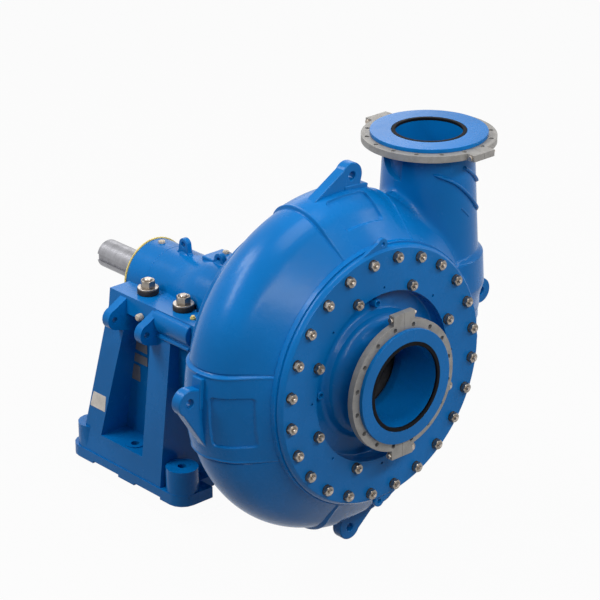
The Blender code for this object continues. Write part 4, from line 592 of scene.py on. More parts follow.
def casing_shell(sizes):
    """The ring of the casing. At each angle the section is flange, straight flank, round wall, flank and
    flange, and the waterway inside: radius = centre + reach cos d and place = -reach sin d, with d from the
    crown forwards. Bands raise the wall, pockets sink it, and lines across it lean as they near the flange."""
    marks = np.array([end for band in BANDS for end in band])
    fine = [np.arange(end - 1.6, end + 1.7, 0.2) for pocket in POCKETS for end in pocket[:2]]
    lines = [np.arange(0, 360, 1.5), *fine] + [marks + side for side in np.arange(-1.3, 1.4, 0.13)]
    lines += [np.arange(pocket[0], pocket[1], 0.75) for pocket in POCKETS]
    angles = np.unique(np.round(np.concatenate(lines) % 360, 2))
    outer = crown_radius(angles)[:, None]
    centre = outer - TUBE
    ones = np.ones_like(outer)
    rise = sizes.band_rise * band_share(angles)[:, None]
    extra = [np.arange(17.0, 23.1, 0.5), np.arange(29.0, 35.1, 0.5)]
    steps = np.unique(np.concatenate([np.linspace(0, 60, 25), *extra]))
    parts = []
    for side in (1, -1):
        last = flank(centre, side)[1]
        beyond = 60 + (last - 60) * np.linspace(0, 1, 27)[None, 1:]
        down = np.hstack([steps[None, :] * ones, beyond])
        fade = 1 - 0.55 * edge(down / last, 0.7, 0.6)
        sunk = sizes.pocket_depth * pocket_share(angles[:, None], down) if side > 0 else 0
        reach = wall_reach(centre, down, side) + rise * fade - sunk
        radius = centre + reach * np.cos(np.radians(down))
        place = -side * reach * np.sin(np.radians(down))
        # The lip of the flange: a small round edge that stands proud of the flank
        top, back = FLANGE_CORNERS[side]
        lip = [(top - 0.0022, back + 0.0002), (top - 0.0007, back + 0.0011), (top, back + 0.0034)]
        lip += [(top, HALF_WIDTH - 0.0012), (top - 0.0012, HALF_WIDTH)]
        lip += [(0.540, HALF_WIDTH), (0.500, HALF_WIDTH)]
        radius = np.hstack([radius] + [r * ones for r, _ in lip])
        place = np.hstack([place] + [-side * y * ones for _, y in lip])
        parts.append((radius, place))
    inner_way = np.radians(np.linspace(-90, 90, 15))[None, :]
    water = TUBE - WALL
    water_r = np.hstack([0.500 * ones, outer - TUBE + water * np.cos(inner_way), 0.500 * ones])
    water_y = np.hstack([water * ones, -water * np.sin(inner_way) * ones, -water * ones])
    # Front to back over the outside, and back to front over the inside
    radius = np.hstack([parts[0][0][:, ::-1], parts[1][0][:, 1:], water_r])
    place = np.hstack([parts[0][1][:, ::-1], parts[1][1][:, 1:], water_y])
    turn = np.radians(angles[:, None] + leaning(angles[:, None], outer, radius))
    return grid(np.stack([radius * np.cos(turn), place, radius * np.sin(turn)], -1))


def neck_radius(height):
    """The neck tapers evenly upwards from a thicker band with a rounded shoulder, and fades out below."""
    thicker = SHOULDER * (1 - edge(height, SHOULDER_HEIGHT, 0.026))
    return FOOT_RADIUS - TAPER * (height - FOOT_HEIGHT) + thicker - 0.35 * np.clip(0.20 - height, 0, None)


def blended(x, y, z, sizes):
    """Distance to the casing's wall and to the neck, blended by the polynomial smooth minimum
    min(a,b) - h^2 k/4 with h = max(k - |a - b|, 0) / k, so that a fillet joins them, wide at the crown and
    narrow at the flange. Where the fillet has ended, the surface dives a little under the wall."""
    across = np.hypot(x, z)
    angle = np.degrees(np.arctan2(z, x)) % 360
    angle = angle - leaning(angle, crown_radius(angle), across)
    centre = crown_radius(angle) - TUBE
    down = np.degrees(np.arctan2(np.abs(y), across - centre))
    reach = np.where(y < 0, wall_reach(centre, down, 1), wall_reach(centre, down, -1))
    tube = (np.hypot(across - centre, y) - reach) * TUBE / reach - sizes.band_rise * band_share(angle)
    neck = np.hypot(x - NECK_X, y) - neck_radius(z)
    width = sizes.neck_fillet * (1 - 0.75 * np.clip(np.abs(y) / 0.20, 0, 1))
    near = np.maximum(width - np.abs(tube - neck), 0) / width
    dive = 0.006 * edge((neck - tube) / width, 0.88, 0.16)
    return np.minimum(tube, neck) - near * near * width / 4 + dive


def casing_neck(sizes):
    """The discharge neck. At each angle and height the radius is where the blended distance becomes zero,
    found by halving between the neck's own radius and the end of the fillet. Then collar, seal groove and
    bore follow."""
    heights = np.unique(np.round(np.concatenate([
        np.linspace(0.02, 0.33, 32), np.arange(0.33, 0.376, 0.0025), np.linspace(0.38, 0.72, 69),
        np.arange(0.72, 0.80, 0.0025), np.linspace(0.80, 0.8765, 14),
    ]), 4))
    turns = np.unique(np.concatenate([np.arange(0, 360, 2.5), np.arange(148, 194, 0.75)]))
    way = np.radians(turns)[:, None]
    height = np.broadcast_to(heights[None, :], (len(way), len(heights)))
    own = neck_radius(height)
    low, high = own - 0.02, own + sizes.neck_fillet
    for _ in range(26):
        middle = (low + high) / 2
        inside = blended(NECK_X + middle * np.cos(way), middle * np.sin(way), height, sizes) < 0
        low, high = np.where(inside, middle, low), np.where(inside, high, middle)
    radius = (low + high) / 2
    # A recess under the collar, with a straight right side and a curved lower left side
    turn = np.degrees(way)
    lower = 0.724 + 0.055 * (np.clip(187 - turn, 0, None) / 31) ** 2
    into = np.minimum(np.minimum(np.radians(190 - turn) * 0.207, height - lower), 0.866 - height)
    radius = radius - 0.024 * edge(into, 0.0030, 0.008) * (radius < own + 0.006)
    top = float(neck_radius(0.88))
    collar = [
        (top, 0.8800), (top + 0.0012, 0.8850), (top + 0.006, NECK_TOP), (0.2565, NECK_TOP),
        (0.2588, NECK_TOP + 0.0007), (0.2595, NECK_TOP + 0.003), (0.2595, COLLAR_TOP - 0.003),
        (0.2588, COLLAR_TOP - 0.0007), (0.2565, COLLAR_TOP), (0.215, COLLAR_TOP), (0.1675, COLLAR_TOP),
        (0.1662, COLLAR_TOP - 0.0015), (0.1662, COLLAR_TOP - 0.012), (NECK_BORE, COLLAR_TOP - 0.012),
        (NECK_BORE, 0.70), (NECK_BORE, 0.45), (NECK_BORE, 0.30), (NECK_BORE, 0.145),
    ]
    more_radius, more_height = (np.tile(column, (len(way), 1)) for column in np.array(collar).T)
    radius = np.hstack([radius, more_radius])
    height = np.hstack([height, more_height])
    return grid(np.stack([NECK_X + radius * np.cos(way), radius * np.sin(way), height], -1))


# Ribs on the neck: width, rise, and angle and height of points along each one
NECK_RIBS = (
    (0.018, 0.013, ((-132.0, 0.775), (-103.6, 0.727), (-81.0, 0.652), (-48.0, 0.528))),
    (0.018, 0.013, ((-88.0, 0.784), (-72.0, 0.742), (-50.0, 0.672))),
    (0.011, 0.004, ((-92.8, 0.601), (-86.0, 0.578), (-78.0, 0.545))),
)


def neck_rib(width, rise, marks):
    """A half-round rib on the neck: the polynomial through its marks is the path, and an ellipse is carried
    along it, square to the path, and sinks into the surface at both ends."""
    t = np.linspace(0, 1, 48)
    places = np.linspace(0, 1, len(marks))
    path = [np.polyval(np.polyfit(places, column, len(marks) - 1), t) for column in zip(*marks)]
    angle, height = np.radians(path[0]), path[1]
    along = np.stack([np.gradient(angle) * FOOT_RADIUS, np.gradient(height)], -1)
    along /= np.linalg.norm(along, axis=1)[:, None]
    swell = np.clip(np.minimum(t, 1 - t) * 12, 0.02, 1)[:, None] ** 0.5
    turn = np.linspace(0, 2 * pi, 16, endpoint=False)[None, :]
    slide = width / 2 * swell * np.cos(turn)
    z = height[:, None] + slide * along[:, :1]
    way = angle[:, None] - slide * along[:, 1:] / FOOT_RADIUS
    out = neck_radius(z) + rise * (swell * np.sin(turn) * 1.1 - (1 - swell)) - 0.0005
    points = np.stack([NECK_X + out * np.cos(way), out * np.sin(way), z], -1)
    closed = grid(points, close_u=False)
    count = points.shape[1]
    last = (points.shape[0] - 1) * count
    closed.faces += [list(range(count)), list(range(last + count - 1, last - 1, -1))]
    return closed


def tailed_lug(angle, eye_place, eye_radius, hole, tail, surface, root, front, back, soft):
    """A lug across the shaft: a round eye with a steep side, and a tail that runs down along the surface for
    some degrees. The root is how deep the lug sinks under the surface."""
    way = radians(angle)
    out = np.array([cos(way), sin(way)])
    along = np.array([-sin(way), cos(way)])
    bend = np.radians(np.linspace(-100, 60, 25))[:, None]
    head = out * eye_place + eye_radius * (np.cos(bend) * out + np.sin(bend) * along)
    where = np.radians(angle + np.array([tail, 0.8 * tail, -0.15 * tail]))
    reach = np.array([surface - root / 4, surface - root, surface - root])
    foot = np.stack([np.cos(where) * reach, np.sin(where) * reach], -1)
    whole = prism(np.vstack([head, foot]), front, back)
    eye = out * eye_place
    whole = carved(whole, cut=[rod(hole, front - 0.02, back + 0.02, tuple(eye), "Y", 28)])
    return softened(whole, soft)


def casing_lugs(sizes):
    """The four lifting lugs, each with a low foot under its steep side."""
    whole = Shell()
    for angle, rise in LUGS:
        surface = float(crown_radius(angle)) + sizes.band_rise
        whole += tailed_lug(
            angle, surface + rise, eye_radius=0.060, hole=0.019, tail=20.0, surface=surface, root=0.060,
            front=-0.037, back=0.016, soft=sizes.edge,
        )
        over = arc(surface + 0.014, angle - 7.0, angle + 3.0, 12)
        under = arc(surface - 0.030, angle + 3.0, angle - 7.0, 12)
        whole += softened(prism(np.vstack([over, under]), -0.041, 0.020), 0.005)
    return whole


# Cover, throat and rings

COVER_BACK = -0.2798
COVER_FRONT = -0.3105
# Bolt circles of the cover: radius, count and first angle
OUTER_NUTS = (0.541, 24, 7.5)
INNER_NUTS = (0.414, 8, 22.5)
PLUGGED_HOLES = (0.414, 8, 0)


def cover_plate():
    """The bolted ring of the front cover, its two rim lugs and eight plugged tapped holes."""
    profile = [
        (0.386, COVER_BACK), (0.386, COVER_FRONT), (0.5765, COVER_FRONT), (0.5895, COVER_FRONT + 0.016),
        (0.590, COVER_BACK),
    ]
    plate = soft_turned(profile, [0.0, 0.004, 0.0035, 0.010, 0.0], 5, 192)
    hollow = Shell()
    for x, _, z in on_circle(*PLUGGED_HOLES):
        hollow += rod(0.0062, COVER_FRONT - 0.01, COVER_FRONT + 0.012, (x, z), "Y", 14)
    plate = carved(plate, cut=[hollow])
    for angle in (-90, 90):
        plate += tailed_lug(
            angle, 0.605, eye_radius=0.028, hole=0.010, tail=13.0, surface=0.5895, root=0.020,
            front=COVER_FRONT + 0.012, back=COVER_BACK - 0.0003, soft=0.003,
        )
    return plate


def cover_fasteners():
    """Nuts, bright stud ends and washers on the cover's two bolt circles."""
    places = np.vstack([on_circle(*OUTER_NUTS, COVER_FRONT), on_circle(*INNER_NUTS, COVER_FRONT)])
    nut = hexagon(0.0238, 0.0205, 0.0105).moved((0, 0, 0.0030)).turned_by(FACING_FRONT)
    end = stud_end(0.0088, 0.0125).moved((0, 0, 0.0220)).turned_by(FACING_FRONT)
    washer = soft_turned(band(0.010, 0.0242, 0.0003, -0.0032), 0.0008, 2, 32)
    return repeated(nut, places), repeated(end, places), repeated(washer, places)


def throat_shell():
    """Nozzle, bell and liner in one casting: a profile with soft corners carried round the shaft line."""
    front, floor = -0.4528, -0.2378
    neck_end, bell_end = (0.2145, -0.395), (0.272, -0.2625)
    # The bell opens like a quarter of an ellipse
    wide, long = bell_end[0] - neck_end[0], bell_end[1] - neck_end[1]
    quarter = np.linspace(0.05, pi / 2, 14)
    flare = [(neck_end[0] + wide * (1 - cos(t)), neck_end[1] + long * sin(t) ** 0.9) for t in quarter]
    nozzle = [
        (0.1845, -0.231), (0.1845, front + 0.012), (0.2025, front + 0.012), (0.2025, front), (0.2595, front),
        (0.2595, -0.4348), (0.2145, -0.4348), neck_end,
    ]
    liner = [
        (0.293, floor), (0.3815, floor), (0.3853, -0.2500), (0.3905, -0.2795), (0.4985, -0.2795),
        (0.4985, -0.145), (0.260, -0.145), (0.1989, -0.1708),
    ]
    soft = [0.01, 0.0004, 0.0004, 0.0010, 0.0022, 0.0022, 0.006, 0.004] + [0.0] * len(flare)
    soft += [0.014, 0.008, 0.003, 0.0, 0.0, 0.0, 0.02, 0.02]
    shell = soft_turned(nozzle + flare + liner, soft, 5, 160)
    # Small drums with a tapped hole stand in the recess
    drum = [
        (0.0, floor + 0.009), (0.021, floor + 0.009), (0.019, floor - 0.036), (0.010, floor - 0.036),
        (0.010, floor - 0.016), (0.0, floor - 0.016),
    ]
    return shell + repeated(soft_turned(drum, [0, 0, 0.004, 0.002, 0, 0], 3, 36), on_circle(0.328, 4, 0))


def seal_ring(inner, outer, back, front, axis="Y", centre=(0, 0, 0)):
    low, high = sorted((back, front))
    return soft_turned(band(inner, outer, low, high), 0.0028, 4, 128, axis, centre)


# Split flange rings: radius, half width and reach of the ears, thickness, and place of the clamp bolts
RING_RADIUS = 0.298
EAR_HALF_WIDTH = 0.062
EAR_REACH = 0.336
RING_THICKNESS = 0.030
CLAMP_BOLT_PLACE = 0.317
CLAMP_BOLT_DEPTH = 0.015


def ring_half(bore, side):
    """Half of a split flange ring about Z, its face at height 0: two arcs and a square ear at each end."""
    gap = 0.0005
    corner = np.degrees(np.arcsin(np.sqrt(RING_RADIUS**2 - EAR_HALF_WIDTH**2) / RING_RADIUS))
    outer = arc(RING_RADIUS, corner, -corner, 64)
    inner_end = np.degrees(np.arccos(gap / bore))
    inner = arc(bore, -inner_end, inner_end, 64)
    first_ear = [(gap, EAR_REACH), (EAR_HALF_WIDTH, EAR_REACH)]
    last_ear = [(EAR_HALF_WIDTH, -EAR_REACH), (gap, -EAR_REACH)]
    half = prism(np.vstack([first_ear, outer, last_ear, inner]), -RING_THICKNESS, 0.0, "Z")
    holes = Shell()
    for x, y in arc(0.275, 11.25 - 90, 90 - 11.25, 8):
        holes += rod(0.0105, -0.05, 0.02, (x, y), "Z", 24)
    for place in (-CLAMP_BOLT_PLACE, CLAMP_BOLT_PLACE):
        holes += rod(0.0078, -0.02, 0.09, (place, -CLAMP_BOLT_DEPTH), "X", 20)
    half = softened(carved(half, cut=[holes]), 0.0016, 35, 2)
    if side < 0:
        half = half.turned_by(((-1, 0, 0), (0, -1, 0), (0, 0, 1)))
    return half


def ring_bolt(place):
    """The clamp bolt of a ring's ears, along X, with a hexagon at each end."""
    nut = hexagon(0.0125, 0.0095) + stud_end(0.0065, 0.0085).moved((0, 0, 0.0095))
    head = hexagon(0.0125, 0.0105).turned_by(((1, 0, 0), (0, -1, 0), (0, 0, -1)))
    shank = rod(0.0068, -0.063, 0.063, (0, 0), "Z", 20)
    whole = nut.moved((0, 0, 0.0623)) + head.moved((0, 0, -0.0623)) + shank
    return whole.turned_by(((0, 0, 1), (0, 1, 0), (-1, 0, 0))).moved((0, place, -CLAMP_BOLT_DEPTH))


# Bearing cartridge


def housing_shell():
    """The bearing housing: a turned body with a parting line, feet, pad, lifting eyes and adjusting lug."""
    split = 1.0905
    outer = [
        (0.1503, 0.6055), (0.213, 0.6055), (0.213, 0.6335), (0.200, 0.6345), (0.200, 0.8005), (0.174, 0.9005),
        (0.174, split - 0.0022), (0.1722, split), (0.174, split + 0.0022), (0.174, 1.2245), (0.1403, 1.2245),
        (0.1403, 1.0497), (0.128, 1.0497), (0.128, 0.7253), (0.1503, 0.7253),
    ]
    soft = [0.0, 0.005, 0.005, 0.012, 0.04, 0.04, 0.0006, 0.0006, 0.0006, 0.0015, 0, 0, 0, 0, 0]
    body = soft_turned(outer, soft, 6, 144)
    seats = Shell()
    for x in (-CLAMP_SPREAD, CLAMP_SPREAD):
        for y in CLAMP_ROWS:
            seats += rod(0.058, 0.044, 0.2, (x, y), "Z", 48)
    # A recess for each clamp washer is scooped out of the round body
    body = carved(body, cut=[seats])
    feet = Shell()
    for side in (-1, 1):
        near, far = sorted((side * 0.152, side * 0.2055))
        feet += block((near, 0.690, -0.030), (far, 1.040, 0.044))
    feet = softened(carved(feet, cut=[seats]), 0.004)
    pad = softened(block((-0.0125, 0.690, 0.160), (0.1125, 0.870, 0.205)), 0.006)
    lug = block((-0.034, 1.1805, -0.262), (0.034, 1.2165, -0.160))
    lug = softened(carved(lug, cut=[rod(0.0128, 1.1, 1.3, (0, -0.225), "Y", 24)]), 0.004)
    eyes = Shell()
    for place, base in ((0.9995, 0.172), (0.7515, 0.198)):
        head = arc(0.031, 0, 180, 25, (place, 0.218))
        slope, root = 0.036, 0.064
        foot = [
            (place - slope, base + 0.012), (place - root, base - 0.014), (place + root, base - 0.014),
            (place + slope, base + 0.012),
        ]
        eye = prism(np.vstack([head, foot]), -0.0135, 0.0135, "X")
        hole = rod(0.012, -0.03, 0.03, (place, 0.218), "X", 28)
        eyes += softened(carved(eye, cut=[hole]), 0.004)
        skirt = [
            (0.0, base - 0.012), (1.0, base - 0.012), (0.55, base + 0.003), (0.34, base + 0.016),
            (0.0, base + 0.016),
        ]
        skirt = soft_turned(skirt, 0.0, 1, 48, "Z")
        skirt.points[:, 0] *= 0.034
        skirt.points[:, 1] = skirt.points[:, 1] * 0.074 + place
        eyes += skirt
    return body + feet + pad + lug + eyes


def shaft_shell():
    """The shaft with its steps, end chamfer and the round-ended keyway."""
    steps = [
        (0.0, 0.028), (0.060, 0.028), (0.060, 0.1333), (0.070, 0.1333), (0.070, 0.5346), (0.080, 0.5346),
        (0.080, 0.625), (0.085, 0.625), (0.085, 0.7253), (0.098, 0.7253), (0.098, 1.0497), (0.080, 1.0497),
        (0.080, 1.17),
        (0.0775, 1.17), (0.0775, 1.2205), (0.074, 1.2205), (0.074, 1.2791), (0.0685, 1.2851),
        (0.0685, 1.5731), (0.0645, 1.5771), (0.0, 1.5771),
    ]
    body = soft_turned(steps, [0.0] + [0.001] * (len(steps) - 2) + [0.0], 2, 96)
    keyway = np.vstack([arc(0.016, 90, 270, 17, (1.3581, 0.0)), [(1.60, -0.016), (1.60, 0.016)]])
    key = prism(keyway, -0.09, -0.0565, "X")
    centre = rod(0.006, 1.560, 1.60, (0, 0), "Y", 20)
    return carved(body, cut=[key, centre])


# Pedestal


def pedestal_shell(sizes):
    """The pedestal: the solid's own faces, with every edge and inner corner made round like a casting's."""
    shape = bmesh.new()
    shape.from_mesh(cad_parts["pedestal"].data)
    tidy(shape, 1e-5)
    shell = as_shell(shape)
    shape.free()
    shell = softened(shell, sizes.edge, 32, 3, 0.6)
    # A round beam under the edge of the deck on each side, with a smaller bead below it
    for side in (-1, 1):
        for x, z, wide, tall in ((0.318, 0.829, 0.036, 0.050), (0.329, 0.766, 0.014, 0.012)):
            bulge = arc(1.0, 0, 360, 41)[:-1] * (wide, tall) + (side * x, z)
            shell += softened(prism(bulge, -0.374, -0.128, "Y"), 0.006, 40, 3)
    return shell


def clamp_set(places):
    """Nut, stud end, thin bright washer and thick dark washer of each clamp."""
    nut = hexagon(0.0350, 0.034, 0.0205).moved((0, 0, 0.9166))
    end = stud_end(0.0180, 0.0125).moved((0, 0, 0.9460))
    thin = soft_turned(band(0.015, 0.0485, 0.9121, 0.9168), 0.0018, 3, 64, "Z")
    thick = soft_turned(band(0.0165, 0.050, 0.8843, 0.9123), 0.0050, 3, 64, "Z")
    spots = [(x, y, 0) for x, y in places]
    return [repeated(shape, spots) for shape in (nut, end, thin, thick)]


# Blank plates: corners in the wall's plane as (y, z), on the core's wall and on the rear leg
WALL_PLATES = (
    ((0.030, 0.583), (0.210, 0.583), (0.210, 0.628), (0.030, 0.628)),
    ((0.030, 0.520), (0.210, 0.520), (0.210, 0.565), (0.030, 0.565)),
    ((0.085, 0.425), (0.190, 0.425), (0.190, 0.505), (0.085, 0.505)),
)
LEG_PLATE = ((0.182, 0.280), (0.291, 0.280), (0.273, 0.355), (0.182, 0.355))


# Sizes and colours that a user may change


def length(name, text, default, low, high):
    return FloatProperty(name=name, description=text, default=default, min=low, max=high, unit="LENGTH")


def tint(name, text, default):
    return FloatVectorProperty(name=name, description=text, default=default, subtype="COLOR", min=0, max=1)


class PumpSizes(bpy.types.PropertyGroup):
    edge: length("Edge", "Width of the round edges of the castings", 0.006, 0.001, 0.02)
    band_rise: length("Band rise", "How far the casing's bands stand proud", 0.0085, 0.0, 0.02)
    pocket_depth: length("Pocket depth", "Depth of the shallow pockets in the bands", 0.010, 0.0, 0.02)
    neck_fillet: length("Neck fillet", "Width of the fillet between neck and casing", 0.060, 0.01, 0.12)


class PumpColours(bpy.types.PropertyGroup):
    paint: tint("Paint", "Colour of the painted castings", (0.0012, 0.138, 0.420))
    gloss: FloatProperty(
        name="Paint roughness", description="Roughness of the paint", default=0.27, min=0.05, max=0.9,
        subtype="FACTOR",
    )
    ring: tint("Rings", "Colour of the loose flange rings", (0.27, 0.26, 0.245))
    fastener: tint("Fasteners", "Colour of studs, bolts and thin washers", (0.50, 0.44, 0.38))
    nut: tint("Nuts", "Colour of the oiled nuts", (0.30, 0.270, 0.235))
    shaft: tint("Shaft", "Colour of the shaft", (0.30, 0.30, 0.32))
    shim: tint("Shims", "Colour of the shims and the small cap", (0.72, 0.55, 0.16))


def sizes():
    return bpy.context.scene.pump_sizes


FINISHES = {}


def finishes():
    """The materials, made once."""
    if not FINISHES:
        look = bpy.context.scene.pump_colours
        FINISHES.update(
            paint=cast_paint(tuple(look.paint), look.gloss),
            ring=steel("grey_ring_metal", tuple(look.ring), 0.52, 0.35, 0.22),
            fastener=steel("fastener_steel", tuple(look.fastener), 0.34, 1.0, 0.4),
            nut=steel("dark_nut_steel", tuple(look.nut), 0.34, 0.95, 0.4),
            washer=steel("dark_washer_steel", (0.055, 0.048, 0.043), 0.48, 0.8, 0.4),
            shaft=steel("shaft_steel_turned", tuple(look.shaft), 0.38, 0.85, 0.25, (0.02, 1.0, 0.02)),
            machined=steel("machined_steel", (0.50, 0.50, 0.51), 0.30, 1.0, 0.25),
            # The near-black tone of this iron is partly painted shade: the impeller and liner sit deep in the
            # bore and are darkened so that they read as shadowed.
            iron=steel("shade_darkened_white_iron", (0.10, 0.10, 0.105), 0.60, 0.6, 0.4),
            brass=steel("bronze_cage", (0.62, 0.42, 0.16), 0.36, 1.0, 0.35),
            rubber=dull("black_rubber_seal", (0.004, 0.004, 0.005), 0.60, shine=0.06),
            shim=dull("yellow_shim_coat", tuple(look.shim), 0.50, 240.0, 0.0004, 0.18, 0.3),
            plug=dull("pale_plug", (0.50, 0.44, 0.36), 0.55),
            # The dark grey of this plate finish is painted shade: the wall plates sit inside the pedestal's
            # window and are darkened to read as shadowed.
            plate=steel("blank_plate", (0.14, 0.14, 0.15), 0.50, 0.4, 0.2, (0.2, 1.0, 1.0)),
            label=steel("pale_blank_plate", (0.62, 0.58, 0.53), 0.5, 0.25, 0.2),
            packing=braid("packing_plait", (0.17, 0.14, 0.08)),
        )
    return FINISHES


class PUMP_OT_casing(bpy.types.Operator):
    """Make the volute casing with its neck, collar, ribs and lifting lugs"""

    bl_idname = "pump.casing"
    bl_label = "Casing"

    def execute(self, context):
        size = sizes()
        shell = carved(casing_shell(size), cut=[rod(NECK_BORE, 0.12, 1.0, (NECK_X, 0), "Z", 160)])
        whole = shell + casing_neck(size) + casing_lugs(size)
        for width, rise, marks in NECK_RIBS:
            whole += neck_rib(width, rise, marks)
        piece("casing", whole, "paint", "frame", ["volute_casing"])
        return {"FINISHED"}


class PUMP_OT_front_cover(bpy.types.Operator):
    """Make the front cover with its rim lugs, nuts, stud ends and washers"""

    bl_idname = "pump.front_cover"
    bl_label = "Front cover"

    def execute(self, context):
        piece("cover_plate", cover_plate(), "paint", "frame", ["front_cover"])
        nuts, ends, washers = cover_fasteners()
        piece("cover_nuts", nuts, "nut", "frame", (), FASTENER_ANGLE)
        piece("cover_stud_ends", ends, "fastener", "frame", (), FASTENER_ANGLE)
        piece("cover_washers", washers, "washer", "frame", (), FASTENER_ANGLE)
        return {"FINISHED"}


class PUMP_OT_throat(bpy.types.Operator):
    """Make the suction nozzle with its bell, and the two face seals"""

    bl_idname = "pump.throat"
    bl_label = "Suction nozzle and seals"

    def execute(self, context):
        piece("suction_nozzle", throat_shell(), "paint", "frame", ["suction_throat"])
        seal = seal_ring(0.1848, 0.2022, -0.4411, -0.4538)
        piece("suction_face_seal", seal, "rubber", "frame", ["suction_seal"])
        seal = seal_ring(0.1488, 0.1659, COLLAR_TOP - 0.0117, COLLAR_TOP + 0.001, "Z", (NECK_X, 0, 0))
        piece("discharge_face_seal", seal, "rubber", "frame", ["discharge_seal"])
        return {"FINISHED"}


class PUMP_OT_rings(bpy.types.Operator):
    """Make the two split flange rings with their clamp bolts"""

    bl_idname = "pump.rings"
    bl_label = "Flange rings"

    def execute(self, context):
        level = ((1, 0, 0), (0, 1, 0), (0, 0, 1))
        for name, bore, place, matrix, ears in (
            ("suction", 0.2195, (0, -0.4345, 0), FACING_FRONT, ("top", "bottom")),
            ("discharge", 0.2125, (NECK_X, 0, 0.887), level, ("rear", "front")),
        ):
            body = f"{name}_ring"
            for label, side in (("left", -1), ("right", 1)):
                half = ring_half(bore, side).turned_by(matrix).moved(place)
                piece(f"{name}_flange_{label}", half, "ring", body, [f"{body}_{label}"])
            for label, way in zip(ears, (1, -1)):
                bolt = ring_bolt(way * CLAMP_BOLT_PLACE).turned_by(matrix).moved(place)
                stands_for = [f"{body}_bolt_{label}"]
                piece(f"{name}_clamp_bolt_{label}", bolt, "fastener", body, stands_for, FASTENER_ANGLE)
        return {"FINISHED"}


class PUMP_OT_rear_end(bpy.types.Operator):
    """Make the rear cover plate"""

    bl_idname = "pump.rear_end"
    bl_label = "Rear end"

    def execute(self, context):
        cover = soft_turned(band(0.1565, 0.552, 0.2798, 0.3248), [0, 0.004, 0.008, 0.0], 4, 160)
        piece("rear_cover_plate", cover, "paint", "frame", ["rear_cover"])
        return {"FINISHED"}


# Profiles of the cartridge's end covers, and how soft each corner is
PUMP_COVER = (
    [
        (0.0918, 0.5629), (0.120, 0.5629), (0.120, 0.5769), (0.213, 0.5769), (0.213, 0.5989), (0.1497, 0.5989),
        (0.1497, 0.6247), (0.1317, 0.6247), (0.1317, 0.5989), (0.0918, 0.5989),
    ],
    [0.0005, 0.003, 0.003, 0.003, 0.002, 0, 0, 0, 0, 0],
)
DRIVE_COVER = (
    [
        (0.0858, 1.2311), (0.1217, 1.2311), (0.1217, 1.1703), (0.1397, 1.1703), (0.1397, 1.2311), (0.162, 1.2311),
        (0.162, 1.2531), (0.120, 1.2531), (0.120, 1.2731), (0.0858, 1.2731),
    ],
    [0, 0, 0, 0, 0, 0.002, 0.003, 0.003, 0.003, 0.0005],
)


class PUMP_OT_cartridge(bpy.types.Operator):
    """Make the bearing housing, its end covers, shims and grease plugs"""

    bl_idname = "pump.cartridge"
    bl_label = "Bearing cartridge"

    def execute(self, context):
        body = "cartridge"
        piece("bearing_body", housing_shell(), "paint", body, ["bearing_housing"])
        piece("pump_cover", soft_turned(*PUMP_COVER, 3, 120), "paint", body, ["pump_end_cover"])
        piece("drive_cover", soft_turned(*DRIVE_COVER, 3, 120), "paint", body, ["drive_end_cover"])
        screw = hexagon(0.0085, 0.0065).turned_by(((1, 0, 0), (0, 0, 1), (0, -1, 0)))
        screws = repeated(screw, on_circle(0.148, 8, 22.5, 1.2531))
        piece("drive_cover_screws", screws, "fastener", body, (), FASTENER_ANGLE)
        for label, inner, outer, low in (("drive", 0.1403, 0.180, 1.2248), ("pump", 0.1503, 0.213, 0.5992)):
            shim = soft_turned(band(inner, outer, low, round(low + 0.006, 4)), 0.0008, 2, 144)
            piece(f"{label}_shim", shim, "shim", body, [f"{label}_end_shim"])
        for label, x, y, base in (("pump_end", 0.0875, 0.816, 0.205), ("drive_end", 0.0, 1.170, 0.174)):
            plug = hexagon(0.017, 0.0100) + stud_end(0.0085, 0.0035).moved((0, 0, 0.0100))
            plug = plug.moved((x, y, base + 0.0003))
            piece(f"grease_cap_{label}", plug, "plug", body, [f"grease_plug_{label}"], FASTENER_ANGLE)
        return {"FINISHED"}


class PUMP_OT_shaft(bpy.types.Operator):
    """Make the shaft with its keyway"""

    bl_idname = "pump.shaft"
    bl_label = "Shaft"

    def execute(self, context):
        piece("pump_shaft", shaft_shell(), "shaft", "rotor", ["shaft"])
        return {"FINISHED"}


class PUMP_OT_pedestal(bpy.types.Operator):
    """Make the pedestal with round edges, and its small fittings"""

    bl_idname = "pump.pedestal"
    bl_label = "Pedestal"

    def execute(self, context):
        def standing(name, shell, finish, stands_for=(), angle=FASTENER_ANGLE):
            piece(name, shell, finish, "frame", stands_for, angle, ORIGIN)

        standing("pedestal_casting", pedestal_shell(sizes()), "paint", ["pedestal"], CASTING_ANGLE)
        places = [(x, y - OVERHANG) for y in CLAMP_ROWS for x in (-CLAMP_SPREAD, CLAMP_SPREAD)]
        nuts, ends, thin, thick = clamp_set(places)
        numbers = range(1, 5)
        standing("clamp_nuts", nuts, "nut", [f"clamp_stud_{n}" for n in numbers])
        standing("clamp_stud_ends", ends, "fastener")
        standing("clamp_washers_thin", thin, "fastener")
        standing("clamp_washers_thick", thick, "washer", [f"clamp_washer_{n}" for n in numbers])
        low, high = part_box("side_plug")
        middle = (low + high) / 2
        profile = [
            (0.0, high.x), (0.0165, high.x), (0.0165, low.x + 0.008), (0.0125, low.x + 0.001), (0.0, low.x),
        ]
        plug = soft_turned(profile, [0, 0.001, 0.005, 0.004, 0.0], 4, 40, "X", (0, middle.y, middle.z))
        standing("saddle_plug", plug, "plug", ["side_plug"], CASTING_ANGLE)
        low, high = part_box("water_port_cap")
        middle = (low + high) / 2
        cap = hexagon(0.0138, 0.009) + stud_end(0.009, 0.008).moved((0, 0, 0.009))
        standing("water_cap", cap.moved((middle.x, middle.y, low.z)), "shim", ["water_port_cap"])
        return {"FINISHED"}


